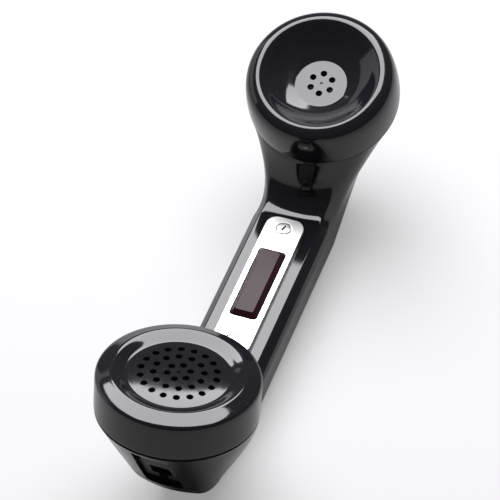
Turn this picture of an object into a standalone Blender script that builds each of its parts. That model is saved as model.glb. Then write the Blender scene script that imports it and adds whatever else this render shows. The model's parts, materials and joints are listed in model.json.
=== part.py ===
"""Telephone handset with a push-to-talk bar, as an assembly of separate pieces.

It lies on its back. +X runs along the handle to the earpiece, +Y is across and +Z is up.
The origin is on the surface that it rests on, under the middle of its outline.
The two screw caps turn about the axes of the cups that they close. Each cup has an empty
at the centre of its seam, with its local +Z out along that axis, and its pieces hang on it.
"""

import math

import bmesh
import bpy
from mathutils import Matrix, Vector

MM = 0.001
GAP = 0.3 * MM

# Driving dimensions of the whole handset.
CAP_SPACING = 155.1 * MM
OUTLINE_SHIFT = -0.45 * MM
HANDLE_DEPTH = 24.5 * MM
HANDLE_HALF_WIDTH = 16.0 * MM
FACE_HALF_WIDTH = 12.4 * MM
FACE_Z = HANDLE_DEPTH
WALL = 2.6 * MM

# Each cup: where its cap's face edge is centred, how far it leans in, and how tall its cap is.
MOUTH_X = -CAP_SPACING / 2 + OUTLINE_SHIFT
EAR_X = CAP_SPACING / 2 + OUTLINE_SHIFT
MOUTH_RISE = 41.1 * MM
EAR_RISE = 44.4 * MM
MOUTH_LEAN = math.radians(12.7)
EAR_LEAN = math.radians(17.5)
MOUTH_CAP_HEIGHT = 14.4 * MM
EAR_CAP_HEIGHT = 15.6 * MM
CAP_RADIUS = 30.0 * MM
CUP_RADIUS = 29.8 * MM
NECK_RADIUS = 26.9 * MM
NECK_BORE = 24.4 * MM
MOUTH_NECK = 8.7 * MM
EAR_NECK = 4.4 * MM
CAP_BORE = 27.4 * MM

# Push-to-talk switch: everything is set out from the middle of the bar.
SWITCH_X = MOUTH_X + 81.6 * MM
PLATE_LENGTH = 70.5 * MM
PLATE_WIDTH = 15.2 * MM
PLATE_CORNER = 4.6 * MM
PLATE_TOP = FACE_Z + 2.4 * MM
BAR_LENGTH = 35.0 * MM
BAR_WIDTH = 10.5 * MM
BAR_RISE = 1.85 * MM
BAR_SLOPE = 1.6 * MM
BAR_TRAVEL = 1.5 * MM
SCREW_OFFSET = 29.9 * MM
BRACKET_FLOOR = FACE_Z - 13.6 * MM
SHEET = 1.0 * MM

CAP_STEPS = 32
CAPSULE_STEPS = 24


def clear_scene():
    for old in list(bpy.data.objects):
        bpy.data.objects.remove(old)


def make_material(name, colour, roughness, metallic=0.0):
    material = bpy.data.materials.new(name)
    material.use_nodes = True
    shader = material.node_tree.nodes["Principled BSDF"]
    shader.inputs["Base Color"].default_value = (*colour, 1.0)
    shader.inputs["Roughness"].default_value = roughness
    shader.inputs["Metallic"].default_value = metallic
    material.diffuse_color = (*colour, 1.0)
    return material


def make_materials():
    return {
        "black_plastic": make_material("black_plastic", (0.012, 0.012, 0.014), 0.12),
        "bar_plastic": make_material("bar_plastic", (0.045, 0.016, 0.020), 0.25),
        "bright_metal": make_material("bright_metal", (0.86, 0.86, 0.85), 0.25, 1.0),
        "plated_steel": make_material("plated_steel", (0.60, 0.58, 0.52), 0.35, 1.0),
        "spring_bronze": make_material("spring_bronze", (0.72, 0.46, 0.20), 0.30, 1.0),
        "gold_contact": make_material("gold_contact", (0.90, 0.66, 0.25), 0.20, 1.0),
        "capsule_alloy": make_material("capsule_alloy", (0.66, 0.67, 0.68), 0.40, 1.0),
        "magnet_iron": make_material("magnet_iron", (0.10, 0.10, 0.11), 0.55, 0.6),
        "coil_copper": make_material("coil_copper", (0.60, 0.26, 0.12), 0.35, 1.0),
        "brown_resin": make_material("brown_resin", (0.16, 0.075, 0.035), 0.45),
        "ivory_film": make_material("ivory_film", (0.72, 0.66, 0.50), 0.40),
        "grey_felt": make_material("grey_felt", (0.34, 0.34, 0.33), 0.90),
        "red_sleeve": make_material("red_sleeve", (0.50, 0.03, 0.02), 0.40),
        "white_sleeve": make_material("white_sleeve", (0.75, 0.74, 0.70), 0.40),
        "green_sleeve": make_material("green_sleeve", (0.03, 0.26, 0.07), 0.40),
        "yellow_sleeve": make_material("yellow_sleeve", (0.62, 0.44, 0.03), 0.40),
        "black_sleeve": make_material("black_sleeve", (0.02, 0.02, 0.02), 0.40),
    }


def add_piece(name, bm, material, parent=None, location=(0, 0, 0)):
    """Turns a bmesh into a named object with outward faces and crisp edges."""
    bmesh.ops.remove_doubles(bm, verts=bm.verts, dist=1e-6)
    bmesh.ops.recalc_face_normals(bm, faces=bm.faces)
    mesh = bpy.data.meshes.new(name)
    bm.to_mesh(mesh)
    bm.free()
    mesh.materials.append(material)
    mesh.shade_smooth()
    mesh.set_sharp_from_angle(angle=math.radians(35))
    piece = bpy.data.objects.new(name, mesh)
    bpy.context.scene.collection.objects.link(piece)
    piece.parent = parent
    piece.location = location
    return piece


def add_empty(name, location, lean=0.0):
    empty = bpy.data.objects.new(name, None)
    bpy.context.scene.collection.objects.link(empty)
    empty.location = location
    empty.rotation_euler = (0, lean, 0)
    return empty


def cut(piece, name, bm, location=(0, 0, 0), parent=None):
    """Takes the shape in bm out of the piece, as a live Boolean with a hidden cutter."""
    cutter = add_piece(name, bm, piece.data.materials[0], parent, location)
    cutter.hide_render = True
    cutter.display_type = "WIRE"
    boolean = piece.modifiers.new(name, "BOOLEAN")
    boolean.operation = "DIFFERENCE"
    boolean.solver = "EXACT"
    boolean.object = cutter


def block(bm, size, centre=(0, 0, 0)):
    """Adds a box to bm and returns its vertices."""
    place = Matrix.Translation(centre) @ Matrix.Diagonal((*size, 1.0))
    return bmesh.ops.create_cube(bm, size=1.0, matrix=place)["verts"]


def rod(bm, radius, low, high, centre=(0, 0), steps=16):
    """Adds an upright cylinder to bm."""
    place = Matrix.Translation((*centre, (low + high) / 2))
    bmesh.ops.create_cone(bm, cap_ends=True, segments=steps, radius1=radius, radius2=radius,
                          depth=high - low, matrix=place)


def turned(profile, steps, ring=False):
    """Turns a profile of (radius, height) about Z. A ring's profile closes on itself."""
    bm = bmesh.new()
    points = [bm.verts.new((radius, 0, height)) for radius, height in profile]
    edges = [bm.edges.new(pair) for pair in zip(points, points[1:])]
    if ring:
        edges.append(bm.edges.new((points[-1], points[0])))
    bmesh.ops.spin(bm, geom=points + edges, cent=(0, 0, 0), axis=(0, 0, 1),
                   angle=math.tau, steps=steps, use_merge=True)
    bmesh.ops.remove_doubles(bm, verts=bm.verts, dist=1e-6)
    return bm


def washer(outer, inner, low, high, steps=CAPSULE_STEPS):
    """A flat ring between two heights."""
    corners = [(outer, high), (outer, low), (inner, low), (inner, high)]
    return turned(corners, steps, ring=True)


def disc(radius, low, high, steps=CAPSULE_STEPS):
    return turned([(0, high), (radius, high), (radius, low), (0, low)], steps)


def rounded_slab(bm, length, width, corner, low, high, corner_steps=5):
    """Adds a slab with its four upright corners rounded, centred on Z."""
    corners = []
    for quarter in range(4):
        sign_x = 1 if quarter in (0, 3) else -1
        sign_y = 1 if quarter in (0, 1) else -1
        for step in range(corner_steps + 1):
            angle = math.pi / 2 * (quarter + step / corner_steps)
            x = sign_x * (length / 2 - corner) + corner * math.cos(angle)
            y = sign_y * (width / 2 - corner) + corner * math.sin(angle)
            corners.append(bm.verts.new((x, y, low)))
    base = bm.faces.new(corners)
    raised = bmesh.ops.extrude_face_region(bm, geom=[base])
    top = [item for item in raised["geom"] if isinstance(item, bmesh.types.BMVert)]
    bmesh.ops.translate(bm, verts=top, vec=(0, 0, high - low))
    return top


def taper_top(bm, top, rise, scale):
    """Raises a narrower crown from the face that these top vertices bound."""
    lid = next(face for face in bm.faces if all(vert in top for vert in face.verts))
    crown = bmesh.ops.extrude_discrete_faces(bm, faces=[lid])["faces"][0].verts[:]
    bmesh.ops.translate(bm, verts=crown, vec=(0, 0, rise))
    bmesh.ops.scale(bm, verts=crown, vec=(*scale, 1))


def bezier(points, t):
    """A point on the Bezier curve of these control points or values."""
    points = [Vector(p) if hasattr(p, "__len__") else p for p in points]
    while len(points) > 1:
        points = [a * (1 - t) + b * t for a, b in zip(points, points[1:])]
    return points[0]


def ease(t):
    t = min(max(t, 0.0), 1.0)
    return t * t * (3 - 2 * t)


# --- Shell: cup, handle and cup as one swept wall ---------------------------------------

# The handle's section, as corners of (half width, depth, rounding), front to back.
HANDLE_CORNERS = (
    (FACE_HALF_WIDTH, 0.0, 0.9 * MM, 1),
    (HANDLE_HALF_WIDTH, 4.6 * MM, 5.0 * MM, 2),
    (HANDLE_HALF_WIDTH, 15.5 * MM, 8.0 * MM, 2),
    (12.6 * MM, HANDLE_DEPTH, 5.0 * MM, 2),
)
FLAT_POINTS = 3


def rounded_corner(before, corner, after, radius, steps):
    """Points of the arc that rounds a corner."""
    to_before = (before - corner).normalized()
    to_after = (after - corner).normalized()
    half = to_before.angle(to_after) / 2
    reach = radius / math.tan(half)
    centre = corner + (to_before + to_after).normalized() * (radius / math.sin(half))
    start = corner + to_before * reach - centre
    end = corner + to_after * reach - centre
    sweep = start.angle(end)
    points = []
    for step in range(steps + 1):
        share = step / steps
        blend = start * math.sin((1 - share) * sweep) + end * math.sin(share * sweep)
        points.append(centre + blend / math.sin(sweep))
    return points


def handle_half():
    """Half of the handle's section from front middle to back middle, as (across, depth)."""
    corners = [Vector((y, z)) for y, z, _, _ in HANDLE_CORNERS]
    ends = [Vector((0, 0)), *corners, Vector((0, HANDLE_DEPTH))]
    arcs = []
    for index, (_, _, radius, steps) in enumerate(HANDLE_CORNERS):
        arcs += rounded_corner(*ends[index:index + 3], radius, steps)
    front = [Vector((arcs[0].x * k / FLAT_POINTS, 0)) for k in range(FLAT_POINTS)]
    back = [Vector((arcs[-1].x * k / FLAT_POINTS, HANDLE_DEPTH)) for k in range(FLAT_POINTS)]
    return front + arcs + back[::-1]


HALF_SECTION = handle_half()
SECTION_STEPS = len(HALF_SECTION) - 1


def section(share):
    """Points of the section as (across, depth), each scaled to one, from round to handle."""
    half = []
    for index, point in enumerate(HALF_SECTION):
        angle = math.pi * index / SECTION_STEPS
        round_shape = Vector((math.sin(angle), (1 - math.cos(angle)) / 2))
        flat_shape = Vector((point.x / HANDLE_HALF_WIDTH, point.y / HANDLE_DEPTH))
        half.append(round_shape.lerp(flat_shape, share))
    other = [Vector((-p.x, p.y)) for p in half[-2:0:-1]]
    return half + other


def seam_centre(x, rise, lean, cap_height):
    """Centre of the joint line between cup and cap. Lean is positive towards +X."""
    axis = Vector((math.sin(lean), 0, math.cos(lean)))
    return Vector((x, 0, FACE_Z + rise)) - axis * cap_height


MOUTH_SEAM = seam_centre(MOUTH_X, MOUTH_RISE, MOUTH_LEAN, MOUTH_CAP_HEIGHT)
EAR_SEAM = seam_centre(EAR_X, EAR_RISE, -EAR_LEAN, EAR_CAP_HEIGHT)

# Side profile of each elbow, from the seam to the handle, as (x from the cap, z from the face).
# The inner line runs down beside the hand, and the outer one is the end wall and then the back.
MOUTH_INNER = ((27.3, 8.0), (29.4, 0.0), (36.0, 0.0))
MOUTH_WALL = ((-29.0, 23.5), (-23.0, 10.5), (-18.4, -1.0))
MOUTH_BACK = ((-14.2, -10.5), (-1.0, -24.5), (26.0, -24.5))
EAR_INNER = ((-25.2, 7.5), (-29.6, 0.0), (-37.0, 0.0))
EAR_WALL = ((30.0, 27.0), (27.2, 14.0), (21.2, 3.0))
EAR_BACK = ((14.0, -10.2), (2.0, -24.5), (-26.0, -24.5))
MOUTH_WIDTHS = (29.8, 28.0, 12.5, 16.0)
EAR_WIDTHS = (29.8, 21.5, 13.0, 16.0)
# How thick the wall is beside the seam, and at the end that holds the cord socket.
SEAM_WALL = CUP_RADIUS - NECK_BORE
SOCKET_WALL = 4.8 * MM
ELBOW_STEPS = 9


class Elbow:
    """One cup of the shell and its bend into the handle."""

    def __init__(self, x, seam, lean, lines, widths, end_wall):
        self.seam = seam
        self.inward = 1 if lean > 0 else -1
        self.across = Vector((math.cos(lean), 0, -math.sin(lean))) * self.inward
        self.axis = Vector((math.sin(lean), 0, math.cos(lean)))
        origin = Vector((x, 0, FACE_Z))
        inner, wall, back = (
            [origin + Vector((a, 0, b)) * MM for a, b in line] for line in lines
        )
        self.inner = [seam + self.across * CUP_RADIUS, *inner]
        self.wall = [seam - self.across * CUP_RADIUS, *wall]
        self.back = [self.wall[-1], *back]
        self.widths = [w * MM for w in widths]
        self.end_wall = end_wall

    def outer_point(self, t):
        if t < 0.5:
            return bezier(self.wall, t * 2)
        return bezier(self.back, t * 2 - 1)

    def ring(self, t, inside=False):
        """One section at t, 0 at the seam and 1 at the handle."""
        near = bezier(self.inner, t)
        far = self.outer_point(t)
        half_width = bezier(self.widths, t)
        depth = (far - near).normalized()
        if inside:
            thick = SEAM_WALL + (WALL - SEAM_WALL) * ease(t / 0.3)
            end_thick = SEAM_WALL + (self.end_wall - SEAM_WALL) * ease(t / 0.2)
            end_thick += (WALL - self.end_wall) * ease(t * 2 - 0.9)
            near = near + depth * thick
            far = far - depth * end_thick
            half_width -= thick
        length = (far - near).length
        return [
            near + depth * (p.y * length) + Vector((0, p.x * half_width, 0))
            for p in section(ease(t))
        ]

    def circle(self, radius, height):
        """A ring about the cup's axis, at a height above the seam."""
        centre = self.seam + self.axis * height
        return [
            centre + self.across * ((1 - 2 * p.y) * radius) + Vector((0, p.x * radius, 0))
            for p in section(0)
        ]


def make_elbows():
    mouth = Elbow(MOUTH_X, MOUTH_SEAM, MOUTH_LEAN,
                  (MOUTH_INNER, MOUTH_WALL, MOUTH_BACK), MOUTH_WIDTHS, SOCKET_WALL)
    ear = Elbow(EAR_X, EAR_SEAM, -EAR_LEAN,
                (EAR_INNER, EAR_WALL, EAR_BACK), EAR_WIDTHS, WALL)
    return mouth, ear


def shell_rings(mouth, ear):
    """Every ring of the shell in order: out over one cup, along, and back through the hollow."""
    stations = [step / ELBOW_STEPS for step in range(ELBOW_STEPS + 1)]
    rings = [mouth.circle(NECK_RADIUS, MOUTH_NECK), mouth.circle(NECK_RADIUS, 0)]
    rings.append(mouth.circle(CUP_RADIUS - 0.5 * MM, 0))
    rings.append(mouth.circle(CUP_RADIUS, -0.5 * MM))
    rings += [mouth.ring(t) for t in stations[1:]]
    rings += [ear.ring(t) for t in stations[:0:-1]]
    rings.append(ear.circle(CUP_RADIUS, -0.5 * MM))
    rings.append(ear.circle(CUP_RADIUS - 0.5 * MM, 0))
    rings += [ear.circle(NECK_RADIUS, 0), ear.circle(NECK_RADIUS, EAR_NECK)]
    rings += [ear.circle(NECK_BORE, EAR_NECK), ear.circle(NECK_BORE, -0.5 * MM)]
    rings += [ear.ring(t, inside=True) for t in stations[1:]]
    rings += [mouth.ring(t, inside=True) for t in stations[:0:-1]]
    rings += [mouth.circle(NECK_BORE, -0.5 * MM), mouth.circle(NECK_BORE, MOUTH_NECK)]
    return rings


def make_shell(materials, mouth, ear):
    """Extrudes the first ring through all the others and welds the last to the first."""
    rings = shell_rings(mouth, ear)
    bm = bmesh.new()
    verts = [bm.verts.new(point) for point in rings[0]]
    for pair in zip(verts, verts[1:] + verts[:1]):
        bm.edges.new(pair)
    for ring in rings[1:] + rings[:1]:
        edges = [bm.edges.get(pair) for pair in zip(verts, verts[1:] + verts[:1])]
        made = set(bmesh.ops.extrude_edge_only(bm, edges=edges)["geom"])
        verts = [
            next(edge.other_vert(v) for edge in v.link_edges if edge.other_vert(v) in made)
            for v in verts
        ]
        for vert, point in zip(verts, ring):
            vert.co = point
    shell = add_piece("handset_shell", bm, materials["black_plastic"])
    cut_switch_window(shell)
    cut_socket_notch(shell)
    return shell


def cut_switch_window(shell):
    bm = bmesh.new()
    rounded_slab(bm, WINDOW_LENGTH, WINDOW_WIDTH, WINDOW_CORNER, -WALL - MM, MM, 3)
    for side in (-1, 1):
        rod(bm, SCREW_HOLE, -WALL - MM, MM, (side * SCREW_OFFSET, 0), 12)
    cut(shell, "switch_window_cutter", bm, (SWITCH_X, 0, FACE_Z))


def cut_socket_notch(shell):
    """A shallow channel runs down from the seam, and below it the socket goes right through."""
    bm = bmesh.new()
    channel = SOCKET_TOP - SOCKET_LIP
    depth = SOCKET_CHANNEL + CUTTER_REACH
    block(bm, (channel + MM, SOCKET_WIDTH, depth),
          (SOCKET_LIP + (channel - MM) / 2, 0, CUTTER_REACH - depth / 2))
    cut(shell, "socket_channel_cutter", bm, parent=SOCKET_AXIS)
    bm = bmesh.new()
    block(bm, (SOCKET_LIP - SOCKET_FOOT + 2 * GAP, SOCKET_WIDTH + 2 * GAP, 4 * CUTTER_REACH),
          ((SOCKET_LIP + SOCKET_FOOT) / 2, 0, -CUTTER_REACH))
    cut(shell, "socket_cutter", bm, parent=SOCKET_AXIS)


# --- Screw caps -------------------------------------------------------------------------

MOUTH_GRILLE = ((6, 4.2 * MM, -2), (12, 9.1 * MM, -10), (18, 13.8 * MM, -3))
EAR_HOLES = ((6, 4.4 * MM, 5),)
SOUND_HOLE = 1.3 * MM
DIMPLE = 0.6 * MM
HOLE_STEPS = 7


def in_mm(points):
    return [(radius * MM, height * MM) for radius, height in points]


def mouth_cap_profile():
    """The underside and the bore, then outside from the seam over the lip to the domed grille."""
    return in_mm((
        (0, 13.9), (14.0, 13.4), (18.6, 12.7), (24.2, 13.4), (24.9, 11.6),
        (CAP_BORE / MM, 11.6), (CAP_BORE / MM, 0.3),
        (29.5, 0.3), (29.95, 0.8), (30.0, 4.5), (30.0, 12.8), (29.8, 14.2), (29.2, 14.9),
        (26.8, 16.0), (25.0, 16.95), (24.0, 17.0), (22.0, 16.2), (19.8, 15.3), (18.4, 14.9),
        (14.0, 15.6), (0, 16.0),
    ))


def ear_cap_profile():
    """The underside and the bore, then outside from the seam over the lip and down the dish."""
    return in_mm((
        (0, 7.7), (10.0, 7.8), (14.4, 9.2), (19.0, 12.2), (22.6, 15.6), (24.9, 15.0), (24.9, 7.3),
        (CAP_BORE / MM, 7.3), (CAP_BORE / MM, 0.3),
        (29.5, 0.3), (29.95, 0.8), (30.0, 5.0), (29.6, 10.8), (28.6, 15.6), (27.7, 17.0),
        (26.2, 17.9), (24.2, 18.4), (22.3, 18.3), (21.1, 17.4), (18.8, 14.8), (15.2, 12.2),
        (9.9, 9.95), (0, 9.8),
    ))


def make_cap(name, profile, holes, dimple_height, material, axis):
    """A turned cap with a sound hole at each place in its rings of holes."""
    cap = add_piece(name, turned(profile, CAP_STEPS), material, axis)
    bm = bmesh.new()
    for count, radius, phase in holes:
        for index in range(count):
            angle = math.radians(phase) + math.tau * index / count
            centre = (radius * math.cos(angle), radius * math.sin(angle))
            rod(bm, SOUND_HOLE, 7 * MM, 18 * MM, centre, HOLE_STEPS)
    rod(bm, DIMPLE, dimple_height - DIMPLE, dimple_height + MM, steps=HOLE_STEPS)
    cut(cap, name + "_holes", bm, parent=axis)
    return cap


def make_caps(materials, mouth_axis, ear_axis):
    plastic = materials["black_plastic"]
    make_cap("transmitter_cap", mouth_cap_profile(), MOUTH_GRILLE, 16.0 * MM, plastic, mouth_axis)
    make_cap("receiver_cap", ear_cap_profile(), EAR_HOLES, 9.8 * MM, plastic, ear_axis)


# --- Transmitter: the capsule under the mouth cap and the cup that it makes contact in -----

def make_transmitter(materials, axis):
    alloy = materials["capsule_alloy"]
    case = in_mm((
        (0, -1.8), (16.6, -1.8), (22.6, 2.4), (23.1, 9.9),
        (26.2, 9.9), (26.2, 9.0), (23.9, 9.0), (23.4, 2.0), (17.0, -2.6), (0, -2.6),
    ))
    add_piece("transmitter_case", turned(case, CAPSULE_STEPS), alloy, axis)
    add_piece("transmitter_washer", washer(26.3 * MM, 24.3 * MM, 10.2 * MM, 11.3 * MM),
              materials["grey_felt"], axis)
    front = add_piece("transmitter_front_plate", disc(22.7 * MM, 9.1 * MM, 9.9 * MM), alloy, axis)
    bm = bmesh.new()
    for index in range(6):
        angle = math.tau * index / 6
        rod(bm, 1.8 * MM, 8 * MM, 11 * MM, (11 * MM * math.cos(angle), 11 * MM * math.sin(angle)),
            HOLE_STEPS)
    cut(front, "transmitter_front_holes", bm, parent=axis)
    cone = in_mm(((0, 6.6), (8.5, 6.6), (22.3, 8.6), (22.3, 8.3), (8.6, 6.25), (0, 6.25)))
    add_piece("transmitter_diaphragm", turned(cone, CAPSULE_STEPS), materials["ivory_film"], axis)
    add_piece("carbon_chamber", disc(7.6 * MM, -1.5 * MM, 5.9 * MM, 20),
              materials["magnet_iron"], axis)
    add_piece("transmitter_rear_insulator", washer(9.0 * MM, 5.0 * MM, -3.5 * MM, -2.9 * MM, 20),
              materials["brown_resin"], axis)
    add_piece("transmitter_rear_contact", disc(4.7 * MM, -3.8 * MM, -2.9 * MM, 16),
              materials["gold_contact"], axis)


def bent_strip(outline, width):
    """A strip whose side view is the outline, extruded across Y by its width."""
    bm = bmesh.new()
    side = bm.faces.new([bm.verts.new((x * MM, -width / 2, z * MM)) for x, z in outline])
    pushed = bmesh.ops.extrude_face_region(bm, geom=[side])
    verts = [item for item in pushed["geom"] if isinstance(item, bmesh.types.BMVert)]
    bmesh.ops.translate(bm, verts=verts, vec=(0, width, 0))
    return bm


CUP_SCREW = 10.0 * MM


def make_contact_cup(materials, mouth_axis):
    """The moulded cup under the capsule, with a centre spring, a rim spring and two screws."""
    axis = add_empty("contact_axis", (0, 0, 0))
    axis.rotation_euler = (0, 0, math.pi / 2)
    axis.parent = mouth_axis
    cup = in_mm((
        (0, -6.4), (16.3, -6.4), (16.3, -3.2), (17.6, -3.2), (17.6, -7.8), (0, -7.8),
    ))
    piece = add_piece("contact_cup", turned(cup, CAPSULE_STEPS), materials["brown_resin"], axis)
    bm = bmesh.new()
    for side in (-1, 1):
        rod(bm, 1.5 * MM, -9 * MM, -5 * MM, (side * CUP_SCREW, 0), HOLE_STEPS)
    cut(piece, "cup_screw_holes", bm, parent=axis)
    centre = ((-12.2, -6.1), (-5.5, -6.1), (2.6, -4.4), (2.6, -4.1), (-5.6, -5.75), (-12.2, -5.75))
    strip = add_piece("contact_spring_centre", bent_strip(centre, 4.6 * MM),
                      materials["spring_bronze"], axis)
    rim = ((12.2, -6.1), (13.6, -6.1), (15.6, -3.2), (15.3, -3.1), (13.3, -5.75), (12.2, -5.75))
    add_piece("contact_spring_rim", bent_strip(rim, 3.0 * MM), materials["spring_bronze"], axis)
    bm = bmesh.new()
    rod(bm, 1.5 * MM, -7 * MM, -5 * MM, (-CUP_SCREW, 0), HOLE_STEPS)
    cut(strip, "contact_spring_hole", bm, parent=axis)
    for name, side, bottom in (("cup_screw_left", 1, -6.1), ("cup_screw_right", -1, -5.45)):
        bm = screw(1.9 * MM, 0.8 * MM, 1.0 * MM, 2.9 * MM, 10)
        add_piece(name, bm, materials["plated_steel"], axis, (side * CUP_SCREW, 0, bottom * MM))


def screw(head, head_height, shank, length, steps):
    """A screw standing on Z=0 under its head, with its shank going down."""
    profile = [(0, head_height), (head * 0.8, head_height), (head, head_height * 0.6),
               (head, 0), (shank, 0), (shank, -length + shank * 0.5), (shank * 0.5, -length),
               (0, -length)]
    return turned(profile, steps)


# --- Receiver: the capsule under the ear cap -----------------------------------------------

RECEIVER_SCREW = 7.5 * MM


def make_receiver(materials, axis):
    alloy = materials["capsule_alloy"]
    case = in_mm((
        (0, -5.8), (18.7, -5.8), (22.6, -0.8), (22.8, 5.6),
        (26.2, 5.6), (26.2, 4.7), (23.6, 4.7), (23.3, -1.0), (19.0, -6.5), (0, -6.5),
    ))
    add_piece("receiver_case", turned(case, CAPSULE_STEPS), alloy, axis)
    add_piece("receiver_washer", washer(26.3 * MM, 24.3 * MM, 5.9 * MM, 7.0 * MM),
              materials["grey_felt"], axis)
    grid = add_piece("receiver_grid", disc(22.4 * MM, 4.4 * MM, 5.2 * MM), alloy, axis)
    bm = bmesh.new()
    for index in range(6):
        angle = math.tau * index / 6
        rod(bm, 1.2 * MM, 3 * MM, 6 * MM, (7 * MM * math.cos(angle), 7 * MM * math.sin(angle)),
            HOLE_STEPS)
    cut(grid, "receiver_grid_holes", bm, parent=axis)
    add_piece("receiver_diaphragm", disc(22.2 * MM, 2.2 * MM, 2.5 * MM), materials["ivory_film"],
              axis)
    add_piece("receiver_clamp_ring", washer(22.2 * MM, 19.6 * MM, 2.8 * MM, 4.1 * MM), alloy, axis)
    add_piece("receiver_magnet", washer(17.6 * MM, 11.8 * MM, -5.5 * MM, 1.2 * MM, 20),
              materials["magnet_iron"], axis)
    add_piece("receiver_coil", washer(11.2 * MM, 6.0 * MM, -5.0 * MM, 0.6 * MM, 20),
              materials["coil_copper"], axis)
    add_piece("receiver_pole", disc(5.6 * MM, -5.5 * MM, 1.6 * MM, 16), materials["plated_steel"],
              axis)
    bm = bmesh.new()
    block(bm, (13 * MM, 22 * MM, 1.6 * MM), (0, 0, -7.6 * MM))
    board = add_piece("receiver_terminal_block", bm, materials["brown_resin"], axis)
    bm = bmesh.new()
    for side in (-1, 1):
        rod(bm, 1.5 * MM, -10 * MM, -5 * MM, (0, side * RECEIVER_SCREW), HOLE_STEPS)
    cut(board, "receiver_screw_holes", bm, parent=axis)
    for name, side in (("receiver_screw_left", 1), ("receiver_screw_right", -1)):
        bm = screw(1.9 * MM, 0.9 * MM, 1.0 * MM, 1.9 * MM, 10)
        bmesh.ops.rotate(bm, verts=bm.verts, matrix=Matrix.Rotation(math.pi, 3, "X"))
        add_piece(name, bm, materials["plated_steel"], axis,
                  (0, side * RECEIVER_SCREW, -8.7 * MM))
    add_piece("receiver_varistor", disc(3.4 * MM, -10.4 * MM, -8.7 * MM, 14),
              materials["brown_resin"], axis)


# --- Push-to-talk switch in the handle -------------------------------------------------------

WINDOW_LENGTH = 39.0 * MM
WINDOW_WIDTH = 13.0 * MM
WINDOW_CORNER = 2.0 * MM
SCREW_HOLE = 1.4 * MM
SCREW_HEAD = 2.75 * MM
COUNTERBORE = 3.1 * MM
COUNTERBORE_DEPTH = 1.2 * MM
PLUNGER_TOP = FACE_Z - 3.5 * MM
CASE_TOP = PLUNGER_TOP - BAR_TRAVEL - 0.2 * MM
CASE_BOTTOM = BRACKET_FLOOR + SHEET + GAP
SPRING_X = 14.2 * MM
FLANGE_UNDERSIDE = FACE_Z - 1.4 * MM


def make_switch_plate(materials):
    bm = bmesh.new()
    top = rounded_slab(bm, PLATE_LENGTH, PLATE_WIDTH, PLATE_CORNER, FACE_Z + GAP, PLATE_TOP)
    rim = [edge for edge in bm.edges if all(v in top for v in edge.verts)]
    bmesh.ops.bevel(bm, geom=rim, offset=0.35 * MM, affect="EDGES", segments=1, profile=0.5,
                    material=-1)
    plate = add_piece("switch_plate", bm, materials["bright_metal"], location=(SWITCH_X, 0, 0))
    bm = bmesh.new()
    rounded_slab(bm, BAR_LENGTH + 0.8 * MM, BAR_WIDTH + 0.7 * MM, 1.6 * MM, FACE_Z - MM,
                 PLATE_TOP + MM, 3)
    for side in (-1, 1):
        bore = (side * SCREW_OFFSET, 0)
        rod(bm, SCREW_HOLE, FACE_Z - MM, PLATE_TOP - COUNTERBORE_DEPTH / 2, bore, 12)
    cut(plate, "plate_window_cutter", bm, (SWITCH_X, 0, 0))
    bm = bmesh.new()
    for side in (-1, 1):
        bore = (side * SCREW_OFFSET, 0)
        rod(bm, COUNTERBORE, PLATE_TOP - COUNTERBORE_DEPTH, PLATE_TOP + MM, bore, 20)
    cut(plate, "plate_counterbore_cutter", bm, (SWITCH_X, 0, 0))
    head_seat = PLATE_TOP - COUNTERBORE_DEPTH + GAP
    for name, side in (("plate_screw_front", 1), ("plate_screw_rear", -1)):
        place = (SWITCH_X + side * SCREW_OFFSET, 0, head_seat)
        piece = add_piece(name, screw(SCREW_HEAD, 1.2 * MM, 1.0 * MM, 8.0 * MM, 20),
                          materials["bright_metal"], location=place)
        bm = bmesh.new()
        block(bm, (8 * MM, 0.7 * MM, 1.2 * MM), (0, 0, 1.2 * MM))
        bmesh.ops.rotate(bm, verts=bm.verts, matrix=Matrix.Rotation(math.radians(60), 3, "Z"))
        cut(piece, name + "_slot", bm, place)


def make_talk_bar(materials):
    """The bar with its sloping sides, its flange under the plate, a post and two spigots."""
    bm = bmesh.new()
    rounded_slab(bm, BAR_LENGTH + 2.6 * MM, BAR_WIDTH + 1.9 * MM, 1.8 * MM, -1.4 * MM, 0, 3)
    bar = bmesh.new()
    top = rounded_slab(bar, BAR_LENGTH, BAR_WIDTH, 1.3 * MM, -MM, PLATE_TOP - FACE_Z, 3)
    taper_top(bar, top, BAR_RISE,
              (1 - 2 * BAR_SLOPE / BAR_LENGTH, 1 - 2 * BAR_SLOPE / BAR_WIDTH))
    piece = add_piece("talk_bar", bm, materials["bar_plastic"], location=(SWITCH_X, 0, FACE_Z))
    join(piece, "talk_bar_top", bar, (SWITCH_X, 0, FACE_Z))
    post = bmesh.new()
    block(post, (6 * MM, 4 * MM, 2.5 * MM), (0, 0, -1.95 * MM))
    for side in (-1, 1):
        rod(post, 1.2 * MM, -3.6 * MM, -0.7 * MM, (side * SPRING_X, 0), 8)
    join(piece, "talk_bar_post", post, (SWITCH_X, 0, FACE_Z))


def join(piece, name, bm, location):
    """Adds the shape in bm to the piece, as a live Boolean union with a hidden helper."""
    helper = add_piece(name, bm, piece.data.materials[0], location=location)
    helper.hide_render = True
    helper.display_type = "WIRE"
    boolean = piece.modifiers.new(name, "BOOLEAN")
    boolean.operation = "UNION"
    boolean.solver = "EXACT"
    boolean.object = helper


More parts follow.
